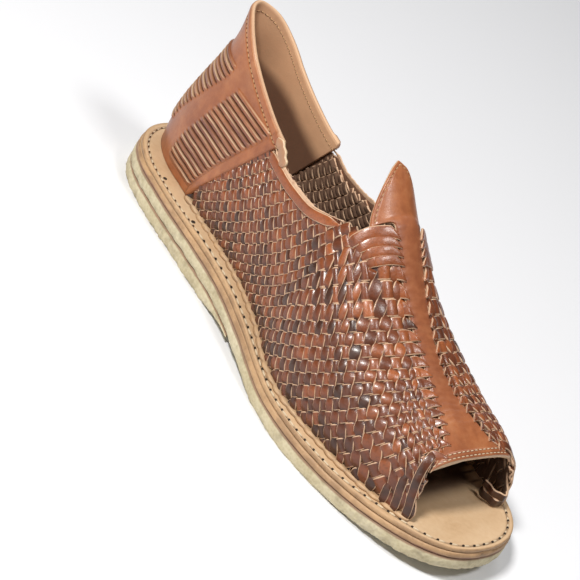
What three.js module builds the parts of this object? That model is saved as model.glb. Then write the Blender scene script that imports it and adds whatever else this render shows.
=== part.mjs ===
// A woven leather sandal shoe for the right foot: open toe, closed heel with a tall collar, woven sides
// held by a smooth centre strap that runs up into a pointed tongue, on a stacked leather and crepe sole.
// Millimetres. The toe points along -Y, the lateral side along -X, and the floor is at z = 0.
import * as THREE from "three";
import { mergeVertices } from "three/addons/utils/BufferGeometryUtils.js";

// Driving dimensions.
const shoeLength = 280;
const seatGap = 0.3; // between pieces that lie on each other
const toeRound = { length: 47.4, power: 2.3 };
const heelRound = { length: 38.5, power: 2.2 };
const outsoleThickness = 6.6;
const midsoleThickness = 3.2;
const insoleThickness = 2.2;
const insoleInset = 0.8; // the top sheet is skived back from the midsole's edge
const heelLiftFront = { edge: 146, full: 176 }; // the lift's bevelled front, from the toe
const heelLiftStep = 0.8; // thickness of the lift at its bevelled front edge
const soleRings = { alongToe: 7, alongMiddle: 20, alongHeel: 6, across: 4 };

// Half widths of the sole before its ends are rounded, from the toe tip.
const soleOutline = [
  { fromToe: 0, lateral: 35.4, medial: 42.6 },
  { fromToe: 20, lateral: 36.5, medial: 43.1 },
  { fromToe: 40, lateral: 41.2, medial: 43.5 },
  { fromToe: 60, lateral: 46.7, medial: 45.5 },
  { fromToe: 80, lateral: 50.1, medial: 48.2 },
  { fromToe: 100, lateral: 50.1, medial: 48.4 },
  { fromToe: 120, lateral: 46.8, medial: 44.1 },
  { fromToe: 140, lateral: 42.5, medial: 38.3 },
  { fromToe: 165, lateral: 38.4, medial: 33.2 },
  { fromToe: 190, lateral: 36.8, medial: 31.1 },
  { fromToe: 220, lateral: 35.9, medial: 31.8 },
  { fromToe: 250, lateral: 33.5, medial: 33.0 },
  { fromToe: 280, lateral: 32.6, medial: 33.0 },
];

// Height of the outsole's underside over the floor: toe spring, flat forefoot, waist and heel seat.
const soleRise = [
  { fromToe: 0, rise: 7.4 },
  { fromToe: 20, rise: 3.9 },
  { fromToe: 40, rise: 1.5 },
  { fromToe: 60, rise: 0 },
  { fromToe: 105, rise: 0 },
  { fromToe: 120, rise: 1.3 },
  { fromToe: 140, rise: 3.7 },
  { fromToe: 160, rise: 5.7 },
  { fromToe: 180, rise: 6.8 },
  { fromToe: 200, rise: 7.0 },
  { fromToe: 240, rise: 6.7 },
  { fromToe: 280, rise: 7.2 },
];

// Sections of the last: half widths where the upper meets the sole, height of the ridge over the
// floor, and how square the section is on each side.
const lastSections = [
  { fromToe: 22, lateral: 25.6, medial: 32.0, ridge: 40, lateralPower: 3.7, medialPower: 3.5 },
  { fromToe: 40, lateral: 33.3, medial: 38.0, ridge: 46.6, lateralPower: 3.2, medialPower: 3.5 },
  { fromToe: 60, lateral: 38.4, medial: 40.8, ridge: 50.4, lateralPower: 2.8, medialPower: 3.1 },
  { fromToe: 80, lateral: 42.2, medial: 42.6, ridge: 58.3, lateralPower: 2.5, medialPower: 2.5 },
  { fromToe: 100, lateral: 43.8, medial: 41.4, ridge: 70.2, lateralPower: 2.3, medialPower: 2.1 },
  { fromToe: 120, lateral: 41.2, medial: 37.0, ridge: 87.0, lateralPower: 2.2, medialPower: 1.95 },
  { fromToe: 140, lateral: 34.6, medial: 31.0, ridge: 104, lateralPower: 2.1, medialPower: 1.95 },
  { fromToe: 160, lateral: 30.2, medial: 26.0, ridge: 116, lateralPower: 2.0, medialPower: 1.9 },
  { fromToe: 185, lateral: 27.7, medial: 23.0, ridge: 122, lateralPower: 1.9, medialPower: 1.9 },
  { fromToe: 210, lateral: 26.0, medial: 21.2, ridge: 124, lateralPower: 1.9, medialPower: 1.9 },
  { fromToe: 235, lateral: 23.7, medial: 20.4, ridge: 124, lateralPower: 1.9, medialPower: 1.9 },
];
const heelCentre = 235; // from the toe; behind it the upper turns round the heel
const heelWallStart = 130; // the arch of the forefoot turns into the upright wall of the quarters
const heelWallFull = 185;

// The upright wall: its half width as a share of the base, and where the back of the heel lies.
const heelWall = [
  { height: 0, lean: 1.0, back: 274.4 },
  { height: 12, lean: 1.0, back: 275.0 },
  { height: 25, lean: 0.95, back: 273.8 },
  { height: 40, lean: 0.86, back: 270.6 },
  { height: 55, lean: 0.77, back: 266.9 },
  { height: 70, lean: 0.71, back: 264.8 },
  { height: 85, lean: 0.66, back: 267.2 },
  { height: 100, lean: 0.64, back: 270.0 },
];

// The woven sides: wall, strips and edges.
const weaveWall = 2.8;
const weaveRelief = { overA: 0.9, overB: 0.7 };
const strapRecess = 1.7; // the wall drops under the centre strap
const weaveRows = { strap: 17, wing: 14 }; // from the toe to the throat, and on to the counter
const weaveColumns = { wing: 10, strap: 12 }; // strips crossed up to the top edge, and to the strap
const recessColumns = 4; // the clearance beside the strap, then even steps to the ridge
const recessEdge = { outer: 1.2, inner: 0.8 }; // past the strap's own edge
const toeOpening = { foot: 23.5, crest: 31.2 };
const throat = { ridge: 123.5, corner: 127.5, halfWidth: 19 };
const borderFoot = 223.5; // where the counter's front border meets the sole
const tab = { fromToe: 193, height: 57 }; // where that border reaches the collar

// Height of the woven sides' top edge over the insole, between the throat and the tab.
const weaveTopline = [
  { fromToe: 127.5, lateral: 69.5, medial: 69.5 },
  { fromToe: 141, lateral: 61.5, medial: 59.5 },
  { fromToe: 155, lateral: 54, medial: 51.5 },
  { fromToe: 168, lateral: 51, medial: 48.5 },
  { fromToe: 182, lateral: 50.5, medial: 48.5 },
  { fromToe: 195.4, lateral: 52.5, medial: 52.5 },
];

// Height of the collar over the insole.
const collarTopline = [
  { fromToe: 193, height: 59.5 },
  { fromToe: 205, height: 62 },
  { fromToe: 225, height: 68.5 },
  { fromToe: 250, height: 79 },
  { fromToe: 262, height: 83.5 },
  { fromToe: 272, height: 85 },
];
const counterWall = 2.6;
const counterBand = { width: 5, relief: 0.8 };
const counterRibs = { count: 13, relief: 0.7, bottom: 0.04, top: 0.76 };
const counterEdge = 0.9; // share of the height where the plain edge under the collar ends
const collarBack = collarTopline.at(-1).fromToe;
const counterColumns = { straight: 4, round: 14 };
const plainColumns = [7, 8]; // counted from each border: the smooth upright band between rib panels

// The centre strap and tongue: half width from the toe opening to the tongue's point.
const strapPlan = [
  { fromToe: 30, halfWidth: 24.2 },
  { fromToe: 34, halfWidth: 18.0 },
  { fromToe: 39, halfWidth: 13.6 },
  { fromToe: 48, halfWidth: 10.2 },
  { fromToe: 60, halfWidth: 7.2 },
  { fromToe: 75, halfWidth: 5.4 },
  { fromToe: 90, halfWidth: 6.0 },
  { fromToe: 105, halfWidth: 7.0 },
  { fromToe: 118, halfWidth: 7.6 },
  { fromToe: 124.2, halfWidth: 7.8 },
];
const strapThickness = 1.8;
const hem = { length: 4, relief: 0.7 };
const tongue = { tip: 147, halfWidth: 18.6, drop: 1.6, power: 1.7, sections: 6 };
const strapColumns = 6;

const finish = {
  crepe: new THREE.MeshStandardMaterial({ color: 0xd8d6b4, roughness: 0.75 }),
  veg: new THREE.MeshStandardMaterial({ color: 0xd7b17c, roughness: 0.6 }),
  woven: new THREE.MeshStandardMaterial({ color: 0x8a4b36, roughness: 0.35 }),
  smooth: new THREE.MeshStandardMaterial({ color: 0xb0703f, roughness: 0.4 }),
};

// A smooth value from a table: cubic between its rows, straight beyond its ends.
function smooth(table, key, column, at) {
  const last = table.length - 1;
  const here = Math.min(Math.max(at, table[0][key]), table[last][key]);
  let low = 0;
  while (low < last - 1 && table[low + 1][key] < here) low += 1;
  const slope = (row) => {
    const before = table[Math.max(row - 1, 0)];
    const after = table[Math.min(row + 1, last)];
    return (after[column] - before[column]) / (after[key] - before[key]);
  };
  const [start, end] = [table[low], table[low + 1]];
  const span = end[key] - start[key];
  const t = (here - start[key]) / span;
  const rise = 3 * t * t - 2 * t * t * t;
  return (
    start[column] * (1 - rise) +
    end[column] * rise +
    slope(low) * span * t * (1 - t) ** 2 -
    slope(low + 1) * span * t * t * (1 - t)
  );
}

const mix = (start, end, t) => start + (end - start) * t;
const ease = (start, end, at) => THREE.MathUtils.smoothstep(at, start, end);

// The share of the full half width that is left by the round of the toe and of the heel.
function endRound(fromToe) {
  const toe = Math.max(0, (toeRound.length - fromToe) / toeRound.length);
  const heel = Math.max(0, (fromToe - shoeLength + heelRound.length) / heelRound.length);
  const left = (part, power) => Math.max(0, 1 - part ** power) ** (1 / power);
  return left(Math.min(toe, 1), toeRound.power) * left(Math.min(heel, 1), heelRound.power);
}

const soleBottom = (fromToe) => Math.max(0, smooth(soleRise, "fromToe", "rise", fromToe));
const insoleTop = (fromToe) =>
  soleBottom(fromToe) + outsoleThickness + midsoleThickness + insoleThickness;

// Places along the sole, closer together at its round ends.
function soleStations(inset) {
  const places = [];
  const { alongToe, alongMiddle, alongHeel } = soleRings;
  const toe = toeRound.length - inset;
  const heel = heelRound.length - inset;
  for (let i = 0; i < alongToe; i += 1)
    places.push(inset + toe * (1 - Math.cos((i / alongToe) * (Math.PI / 2))));
  for (let i = 0; i < alongMiddle; i += 1)
    places.push(mix(toeRound.length, shoeLength - heelRound.length, i / alongMiddle));
  for (let i = 0; i <= alongHeel; i += 1)
    places.push(shoeLength - inset - heel + heel * Math.sin((i / alongHeel) * (Math.PI / 2)));
  return places;
}

// Sums of face normals at each vertex, for walls that are set out square to a surface.
function vertexNormals(points, faces) {
  const sums = points.map(() => new THREE.Vector3());
  const face = new THREE.Triangle();
  const normal = new THREE.Vector3();
  for (const [a, b, c] of faces) {
    face.set(points[a], points[b], points[c]);
    const area = face.getArea();
    face.getNormal(normal).multiplyScalar(area);
    for (const corner of [a, b, c]) sums[corner].add(normal);
  }
  return sums.map((sum) => sum.normalize());
}

// A closed wall between an outer and an inner skin. The inner points match the outer points of the
// same number, and each open edge of the outer skin gets a strip down to the inner one.
function closedWall(outer, outerFaces, inner, innerFaces) {
  const start = outer.length;
  const faces = [...outerFaces];
  for (const [a, b, c] of innerFaces) faces.push([start + c, start + b, start + a]);
  const open = new Map();
  for (const [a, b, c] of outerFaces)
    for (const [from, to] of [
      [a, b],
      [b, c],
      [c, a],
    ]) {
      const back = `${to} ${from}`;
      if (open.has(back)) open.delete(back);
      else open.set(`${from} ${to}`, [from, to]);
    }
  for (const [from, to] of open.values())
    faces.push([to, from, start + from], [to, start + from, start + to]);
  return solidGeometry([...outer, ...inner], faces);
}

// A geometry with shared vertices merged and empty faces left out.
function solidGeometry(points, faces) {
  const geometry = new THREE.BufferGeometry();
  geometry.setAttribute(
    "position",
    new THREE.Float32BufferAttribute(
      points.flatMap((point) => point.toArray()),
      3,
    ),
  );
  geometry.setIndex(faces.flat());
  const merged = mergeVertices(geometry, 1e-3);
  const index = merged.index.array;
  const kept = [];
  for (let i = 0; i < index.length; i += 3) {
    const [a, b, c] = [index[i], index[i + 1], index[i + 2]];
    if (a !== b && b !== c && c !== a) kept.push(a, b, c);
  }
  merged.setIndex(kept);
  merged.computeVertexNormals();
  return merged;
}

// Two triangles for each cell of a grid of numbered points.
function gridFaces(rows, columns, number, flip = false) {
  const faces = [];
  for (let i = 0; i < rows; i += 1)
    for (let j = 0; j < columns; j += 1) {
      const [a, b, c, d] = [number(i, j), number(i, j + 1), number(i + 1, j + 1), number(i + 1, j)];
      faces.push(flip ? [a, c, b] : [a, b, c], flip ? [a, d, c] : [a, c, d]);
    }
  return faces;
}

// A layer of the sole between two heights that follow the length.
function soleLayer(lowAt, highAt, inset, from = 0) {
  const places = soleStations(inset).filter((place) => place >= from);
  if (from > 0) places.unshift(from);
  const across = soleRings.across;
  const skin = (heightAt) =>
    places.flatMap((fromToe) => {
      const stretch = (fromToe - inset) * (shoeLength / (shoeLength - 2 * inset));
      const round = endRound(stretch);
      const lateral = (smooth(soleOutline, "fromToe", "lateral", fromToe) - inset) * round;
      const medial = (smooth(soleOutline, "fromToe", "medial", fromToe) - inset) * round;
      return Array.from(
        { length: across + 1 },
        (_, j) =>
          new THREE.Vector3(
            mix(-lateral, medial, j / across),
            fromToe - shoeLength / 2,
            heightAt(fromToe),
          ),
      );
    });
  const faces = gridFaces(places.length - 1, across, (i, j) => i * (across + 1) + j);
  return closedWall(skin(highAt), faces, skin(lowAt), faces);
}

// A point of the last on one side, at a turn from the sole (0) up to the ridge (a quarter turn).
function lastPoint(side, fromToe, angle) {
  const base = smooth(lastSections, "fromToe", side, fromToe);
  const power = smooth(lastSections, "fromToe", `${side}Power`, fromToe);
  const floor = insoleTop(fromToe) + seatGap;
  const reach = smooth(lastSections, "fromToe", "ridge", fromToe) - floor;
  const height = reach * Math.sin(angle) ** (2 / power);
  const arch = Math.max(0, Math.cos(angle)) ** (2 / power);
  const wall = smooth(heelWall, "height", "lean", height);
  const share = mix(arch, wall, ease(heelWallStart, heelWallFull, fromToe));
  const sign = side === "lateral" ? -1 : 1;
  return new THREE.Vector3(sign * base * share, fromToe - shoeLength / 2, floor + height);
}

// The turn at which a rising measure of the section reaches a value.
function findAngle(measure, value) {
  let [low, high] = [0, Math.PI / 2];
  for (let step = 0; step < 30; step += 1) {
    const middle = (low + high) / 2;
    if (measure(middle) < value) low = middle;
    else high = middle;
  }
  return (low + high) / 2;
}
const angleAtHeight = (side, fromToe, height) =>
  findAngle((angle) => lastPoint(side, fromToe, angle).z, insoleTop(fromToe) + height);
const angleAtWidth = (side, fromToe, halfWidth) =>
  findAngle((angle) => -Math.abs(lastPoint(side, fromToe, angle).x), -halfWidth);

const strapHalfWidth = (fromToe) => smooth(strapPlan, "fromToe", "halfWidth", fromToe);

// Where the counter's front border crosses a height: it leans forward from the sole to the tab.
const borderAt = (height) => mix(borderFoot, tab.fromToe, Math.min(1, height / tab.height));

// A point of the woven sides on a row that runs up to the strap.
function strapRowPoint(side, row, column) {
  const along = row / weaveRows.strap;
  const foot = mix(toeOpening.foot, borderFoot, row / (weaveRows.strap + weaveRows.wing));
  const crest = mix(toeOpening.crest, throat.ridge, along);
  const shoulderAt = crest + (throat.corner - throat.ridge) * along ** 4;
  const half = strapHalfWidth(crest);
  const stripEnd = angleAtWidth(side, crest, half + recessEdge.outer);
  const corner = angleAtWidth(side, throat.corner, throat.halfWidth);
  const { wing, strap } = weaveColumns;
  const shoulder = mix(stripEnd * (wing / strap), corner, along ** 3);
  if (column <= wing)
    return lastPoint(side, mix(foot, shoulderAt, column / wing), (shoulder * column) / wing);
  if (column <= strap) {
    const past = (column - wing) / (strap - wing);
    return lastPoint(side, mix(shoulderAt, crest, past), mix(shoulder, stripEnd, past));
  }
  const step = column - strap;
  const offset = step === 1 ? half + recessEdge.inner : half * (1 - (step - 1) / (recessColumns - 1));
  const angle = step === recessColumns ? Math.PI / 2 : angleAtWidth(side, crest, offset);
  return lastPoint(side, crest, angle);
}

// A point on a row behind the throat, which ends at the sides' top edge.
function wingRowPoint(side, row, column) {
  const { strap, wing } = weaveRows;
  const along = (row - strap) / wing;
  const share = column / weaveColumns.wing;
  const foot = mix(toeOpening.foot, borderFoot, row / (strap + wing));
  const crest = mix(throat.corner, borderAt(weaveTopline.at(-1)[side]), along);
  const top = smooth(weaveTopline, "fromToe", side, crest);
  const heightAt = (at) => strapRowPoint(side, strap, at).z - insoleTop(throat.corner);
  const throatShare = heightAt(column) / heightAt(weaveColumns.wing);
  const fromToe = mix(foot, crest, share);
  const height = top * mix(throatShare, share, along);
  return lastPoint(side, fromToe, column ? angleAtHeight(side, fromToe, height) : 0);
}

// The two woven sides, one wall that runs on under the centre strap.
function wovenUpper() {
  const rows = weaveRows.strap + weaveRows.wing;
  const ridge = weaveColumns.strap + recessColumns;
  const columnsAt = (row) => (row < weaveRows.strap ? ridge : weaveColumns.wing);
  const points = [];
  const numbers = new Map();
  const number = (side, row, column) => {
    const key = `${column === ridge ? "ridge" : side} ${row} ${column}`;
    if (!numbers.has(key)) {
      const pointAt = row <= weaveRows.strap ? strapRowPoint : wingRowPoint;
      numbers.set(key, points.length);
      points.push(pointAt(side, row, column));
    }
    return numbers.get(key);
  };
  const cells = [];
  for (const side of ["lateral", "medial"])
    for (let row = 0; row < rows; row += 1)
      for (let column = 0; column < columnsAt(row); column += 1) {
        const corners = [
          number(side, row, column),
          number(side, row, column + 1),
          number(side, row + 1, column + 1),
          number(side, row + 1, column),
        ];
        if (side === "lateral") corners.reverse();
        cells.push({ row, column, corners });
      }
  const plain = cells.flatMap(({ corners: [a, b, c, d] }) => [
    [a, b, c],
    [a, c, d],
  ]);
  const normals = vertexNormals(points, plain);
  const sink = points.map(() => 0);
  for (const [key, at] of numbers) {
    const column = Number(key.split(" ")[2]);
    if (column > weaveColumns.strap) sink[at] = strapRecess;
    if (column === 0) normals[at].setZ(0).normalize();
  }
  const set = (depthAt) =>
    points.map((point, i) => point.clone().addScaledVector(normals[i], -depthAt(i)));
  const outer = set((i) => sink[i]);
  const inner = set(() => weaveWall);
  const outerFaces = [];
  for (const { row, column, corners } of cells) {
    const [a, b, c, d] = corners;
    if (column >= weaveColumns.strap) {
      outerFaces.push([a, b, c], [a, c, d]);
      continue;
    }
    const middle = new THREE.Vector3();
    const outward = new THREE.Vector3();
    for (const corner of corners) {
      middle.addScaledVector(outer[corner], 1 / 4);
      outward.add(normals[corner]);
    }
    const relief = (row + column) % 2 ? weaveRelief.overA : weaveRelief.overB;
    const top = outer.length;
    outer.push(middle.addScaledVector(outward.normalize(), relief));
    outerFaces.push([a, b, top], [b, c, top], [c, d, top], [d, a, top]);
  }
  return closedWall(outer, outerFaces, inner, plain);
}

// A point of the heel counter: along the front border (0), round the heel, to the other border (1),
// and up from the insole to the collar.
function counterPoint(place, level) {
  const { straight, round } = counterColumns;
  const total = 2 * straight + 2 + round;
  const fromLateral = place <= total / 2;
  const side = fromLateral ? "lateral" : "medial";
  const step = fromLateral ? place : total - place;
  const sign = fromLateral ? -1 : 1;
  const seat = (fromToe, height) => insoleTop(fromToe) + seatGap + height;
  const nearBorder = mix(borderFoot, tab.fromToe, level);
  const border =
    borderAt(level * smooth(collarTopline, "fromToe", "height", nearBorder)) + seatGap;
  if (step <= straight + 1) {
    const across = step <= 1 ? step * counterBand.width : counterBand.width;
    const share = step <= 1 ? 0 : (step - 1) / straight;
    const fromToe = mix(border + across, Math.max(heelCentre, border + across), share);
    const height = level * smooth(collarTopline, "fromToe", "height", fromToe);
    const base = smooth(lastSections, "fromToe", side, fromToe);
    const lean = smooth(heelWall, "height", "lean", height);
    return new THREE.Vector3(sign * base * lean, fromToe - shoeLength / 2, seat(fromToe, height));
  }
  const turn = ((step - straight - 1) / round) * Math.PI;
  const start = Math.max(heelCentre, border + counterBand.width);
  const topAt = mix(start, collarBack, Math.sin(turn));
  const height = level * smooth(collarTopline, "fromToe", "height", topAt);
  const back = smooth(heelWall, "height", "back", height);
  const fromToe = mix(start, back, Math.sin(turn));
  const base = smooth(lastSections, "fromToe", side, start);
  const lean = smooth(heelWall, "height", "lean", height);
  return new THREE.Vector3(
    sign * base * lean * Math.cos(turn),
    fromToe - shoeLength / 2,
    seat(fromToe, height),
  );
}

// The heel counter and collar: a smooth wall with a raised front band and ribbed panels.
function heelCounter() {
  const columns = 2 * counterColumns.straight + 2 + counterColumns.round;
  const levels = [0, counterRibs.bottom];
  const ridgesAndGrooves = 2 * counterRibs.count;
  for (let line = 1; line <= ridgesAndGrooves; line += 1)
    levels.push(mix(counterRibs.bottom, counterRibs.top, line / ridgesAndGrooves));
  levels.push(counterEdge, 1);
  const rows = levels.length - 1;
  const points = levels.flatMap((level) =>
    Array.from({ length: columns + 1 }, (_, place) => counterPoint(place, level)),
  );
  const number = (row, place) => row * (columns + 1) + place;
  const faces = gridFaces(rows, columns, number);
  const normals = vertexNormals(points, faces);
  for (let place = 0; place <= columns; place += 1) normals[number(0, place)].setZ(0).normalize();
  const outer = points.map((point, i) => {
    const row = Math.floor(i / (columns + 1));
    const place = i % (columns + 1);
    const step = Math.min(place, columns - place);
    const onRib = row > 1 && row < rows - 1 && row % 2 === 0;
    const ribbed = step > 1 && (step < plainColumns[0] || step > plainColumns[1]);
    const relief = step <= 1 ? counterBand.relief : onRib && ribbed ? counterRibs.relief : 0;
    return point.clone().addScaledVector(normals[i], relief);
  });
  const inner = points.map((point, i) => point.clone().addScaledVector(normals[i], -counterWall));
  return closedWall(outer, faces, inner, faces);
}

// The centre strap, which lies in the weave's recess, and the tongue that it widens into.
function strapAndTongue() {
  const across = strapColumns;
  const places = strapPlan.map(({ fromToe }) => fromToe);
  places.splice(1, 0, strapPlan[0].fromToe + hem.length / 2);
  const stations = places.map((fromToe) => ({ fromToe, half: strapHalfWidth(fromToe), drop: 0 }));
  const base = throat.corner + seatGap;
  for (let section = 0; section <= tongue.sections; section += 1) {
    const along = section / tongue.sections;
    const half = tongue.halfWidth * (1 - along ** tongue.power);
    stations.push({ fromToe: mix(base, tongue.tip, along), half, drop: tongue.drop });
  }
  const points = stations.flatMap(({ fromToe, half }) =>
    Array.from({ length: across + 1 }, (_, j) => {
      const offset = mix(-half, half, j / across);
      const side = offset < 0 ? "lateral" : "medial";
      const point = lastPoint(side, fromToe, angleAtWidth(side, fromToe, Math.abs(offset)));
      return point.setX(offset);
    }),
  );
  const faces = gridFaces(stations.length - 1, across, (i, j) => i * (across + 1) + j);
  const normals = vertexNormals(points, faces);
  const raise = (lift) =>
    points.map((point, i) => {
      const { fromToe, drop } = stations[Math.floor(i / (across + 1))];
      const folded = fromToe < strapPlan[0].fromToe + hem.length ? hem.relief : 0;
      return point.clone().addScaledVector(normals[i], lift(folded, drop));
    });
  const top = raise((folded, drop) => strapThickness - strapRecess + seatGap + folded - drop);
  const bottom = raise((folded, drop) => seatGap - strapRecess - drop);
  return closedWall(top, faces, bottom, faces);
}

const midsoleBottom = (fromToe) => soleBottom(fromToe) + outsoleThickness;
const liftBottom = (fromToe) =>
  mix(
    soleBottom(fromToe) - seatGap - heelLiftStep,
    0,
    ease(heelLiftFront.edge, heelLiftFront.full, fromToe),
  );

const pieces = [
  {
    name: "heel_lift",
    material: finish.crepe,
    geometry: soleLayer(liftBottom, (at) => soleBottom(at) - seatGap, 0, heelLiftFront.edge),
  },
  {
    name: "outsole",
    material: finish.crepe,
    geometry: soleLayer(soleBottom, (at) => midsoleBottom(at) - seatGap, 0),
  },
  {
    name: "midsole",
    material: finish.veg,
    geometry: soleLayer(midsoleBottom, (at) => midsoleBottom(at) + midsoleThickness - seatGap, 0),
  },
  {
    name: "insole",
    material: finish.veg,
    geometry: soleLayer((at) => insoleTop(at) - insoleThickness, insoleTop, insoleInset),
  },
  { name: "woven_upper", material: finish.woven, geometry: wovenUpper() },
  { name: "heel_counter", material: finish.smooth, geometry: heelCounter() },
  { name: "strap_and_tongue", material: finish.smooth, geometry: strapAndTongue() },
];

const shoe = new THREE.Group();
for (const { name, material, geometry } of pieces) {
  const mesh = new THREE.Mesh(geometry, material);
  mesh.name = name;
  shoe.add(mesh);
}

// The origin is on the floor, under the middle of the shoe's length and width.
const middle = new THREE.Box3().setFromObject(shoe).getCenter(new THREE.Vector3());
for (const mesh of shoe.children) mesh.position.x = -middle.x;

export default shoe;
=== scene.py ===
import math

import bmesh
import bpy
import numpy as np
from mathutils import Matrix, Vector


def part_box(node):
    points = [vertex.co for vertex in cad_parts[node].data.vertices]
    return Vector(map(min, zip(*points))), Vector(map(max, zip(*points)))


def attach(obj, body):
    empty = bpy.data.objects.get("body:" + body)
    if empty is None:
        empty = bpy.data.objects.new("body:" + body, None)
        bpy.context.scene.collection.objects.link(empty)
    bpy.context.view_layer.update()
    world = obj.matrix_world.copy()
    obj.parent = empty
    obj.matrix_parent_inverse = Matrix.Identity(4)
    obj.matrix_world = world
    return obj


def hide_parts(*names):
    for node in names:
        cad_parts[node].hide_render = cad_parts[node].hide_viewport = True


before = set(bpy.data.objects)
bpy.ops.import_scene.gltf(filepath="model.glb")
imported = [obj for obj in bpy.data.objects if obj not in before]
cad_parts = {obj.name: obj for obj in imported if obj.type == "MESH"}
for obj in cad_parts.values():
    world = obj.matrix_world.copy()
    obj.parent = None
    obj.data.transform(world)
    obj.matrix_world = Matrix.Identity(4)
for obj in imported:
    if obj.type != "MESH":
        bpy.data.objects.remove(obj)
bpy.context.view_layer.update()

# Lengths are millimetres here and become metres in the meshes. fromToe runs from the toe to the heel.
mm = 0.001
shoeLength = 280
seatGap = 0.3
outsoleThickness = 6.6
midsoleThickness = 3.2
insoleThickness = 2.2
toeRound = {"length": 47.4, "power": 2.3}
heelRound = {"length": 38.5, "power": 2.2}
liftFront = {"edge": 146, "full": 176, "step": 0.8}
soleOutline = {
    "fromToe": [0, 20, 40, 60, 80, 100, 120, 140, 165, 190, 220, 250, 280],
    "lateral": [35.4, 36.5, 41.2, 46.7, 50.1, 50.1, 46.8, 42.5, 38.4, 36.8, 35.9, 33.5, 32.6],
    "medial": [42.6, 43.1, 43.5, 45.5, 48.2, 48.4, 44.1, 38.3, 33.2, 31.1, 31.8, 33.0, 33.0],
}
soleRise = {
    "fromToe": [0, 20, 40, 60, 105, 120, 140, 160, 180, 200, 240, 280],
    "rise": [7.4, 3.9, 1.5, 0, 0, 1.3, 3.7, 5.7, 6.8, 7.0, 6.7, 7.2],
}
lastSections = {
    "fromToe": [22, 40, 60, 80, 100, 120, 140, 160, 185, 210, 235],
    "lateral": [25.6, 33.3, 38.4, 42.2, 43.8, 41.2, 34.6, 30.2, 27.7, 26.0, 23.7],
    "medial": [32.0, 38.0, 40.8, 42.6, 41.4, 37.0, 31.0, 26.0, 23.0, 21.2, 20.4],
    "ridge": [40, 46.6, 50.4, 58.3, 70.2, 87.0, 104, 116, 122, 124, 124],
    "lateralPower": [3.7, 3.2, 2.8, 2.5, 2.3, 2.2, 2.1, 2.0, 1.9, 1.9, 1.9],
    "medialPower": [3.5, 3.5, 3.1, 2.5, 2.1, 1.95, 1.95, 1.9, 1.9, 1.9, 1.9],
}
heelCentre = 235
heelWallStart = 130
heelWallFull = 185
heelWall = {
    "height": [0, 12, 25, 40, 55, 70, 85, 100],
    "lean": [1.0, 1.0, 0.95, 0.86, 0.77, 0.71, 0.66, 0.64],
    "back": [274.4, 275.0, 273.8, 270.6, 266.9, 264.8, 267.2, 270.0],
}
rowCount = {"strap": 17, "wing": 14}
columnCount = {"wing": 10, "strap": 12}
toeOpening = {"foot": 23.5, "crest": 31.2}
throat = {"ridge": 123.5, "corner": 127.5, "halfWidth": 19}
borderFoot = 223.5
tabPlace = {"fromToe": 193, "height": 57}
weaveTopline = {
    "fromToe": [127.5, 141, 155, 168, 182, 195.4],
    "lateral": [69.5, 61.5, 54, 51, 50.5, 52.5],
    "medial": [69.5, 59.5, 51.5, 48.5, 48.5, 52.5],
}
sideSign = {"lateral": -1.0, "medial": 1.0}
collarTopline = {
    "fromToe": [193, 205, 225, 250, 262, 272],
    "height": [59.5, 62, 68.5, 79, 83.5, 85],
}
strapPlan = {
    "fromToe": [30, 34, 39, 48, 60, 75, 90, 105, 118, 124.2],
    "halfWidth": [24.2, 18.0, 13.6, 10.2, 7.2, 5.4, 6.0, 7.0, 7.6, 7.8],
}


def mix(start, end, share):
    return start + (end - start) * share


def ease(start, end, at):
    t = np.clip((np.asarray(at, float) - start) / (end - start), 0, 1)
    return t * t * (3 - 2 * t)


def smooth(table, column, at, key="fromToe"):
    places = np.array(table[key], float)
    values = np.array(table[column], float)
    at = np.clip(np.asarray(at, float), places[0], places[-1])
    last = len(places) - 1
    low = np.clip(np.searchsorted(places, at, side="right") - 1, 0, last - 1)
    before = np.maximum(np.arange(last + 1) - 1, 0)
    after = np.minimum(np.arange(last + 1) + 1, last)
    slope = (values[after] - values[before]) / (places[after] - places[before])
    span = places[low + 1] - places[low]
    t = (at - places[low]) / span
    rise = t * t * (3 - 2 * t)
    bend = slope[low] * (1 - t) - slope[low + 1] * t
    return values[low] * (1 - rise) + values[low + 1] * rise + bend * span * t * (1 - t)


def soleBottom(fromToe):
    return np.maximum(0, smooth(soleRise, "rise", fromToe))


def insoleTop(fromToe):
    return soleBottom(fromToe) + outsoleThickness + midsoleThickness + insoleThickness


def endRound(fromToe):
    toe = np.clip((toeRound["length"] - fromToe) / toeRound["length"], 0, 1)
    heel = np.clip((fromToe - shoeLength + heelRound["length"]) / heelRound["length"], 0, 1)
    front = np.clip(1 - toe ** toeRound["power"], 0, 1) ** (1 / toeRound["power"])
    return front * np.clip(1 - heel ** heelRound["power"], 0, 1) ** (1 / heelRound["power"])


outlineSamples = np.linspace(0, shoeLength, 2000)
reachLateral = (smooth(soleOutline, "lateral", outlineSamples) * endRound(outlineSamples)).max()
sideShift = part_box("outsole")[0].x / mm + reachLateral  # the frame is centred on the sole's width


def lastPoint(side, fromToe, angle):
    fromToe, angle = np.broadcast_arrays(np.asarray(fromToe, float), np.asarray(angle, float))
    base = smooth(lastSections, side, fromToe)
    power = smooth(lastSections, side + "Power", fromToe)
    floor = insoleTop(fromToe) + seatGap
    reach = smooth(lastSections, "ridge", fromToe) - floor
    height = reach * np.sin(angle) ** (2 / power)
    arch = np.clip(np.cos(angle), 0, None) ** (2 / power)
    wall = smooth(heelWall, "lean", height, "height")
    share = mix(arch, wall, ease(heelWallStart, heelWallFull, fromToe))
    return np.stack([sideSign[side] * base * share, fromToe - shoeLength / 2, floor + height], -1)


def findAngle(measure, value):
    value = np.asarray(value, float)
    low = np.zeros(value.shape)
    high = np.full(value.shape, math.pi / 2)
    for step in range(30):
        middle = (low + high) / 2
        below = measure(middle) < value
        low = np.where(below, middle, low)
        high = np.where(below, high, middle)
    return (low + high) / 2


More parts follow.
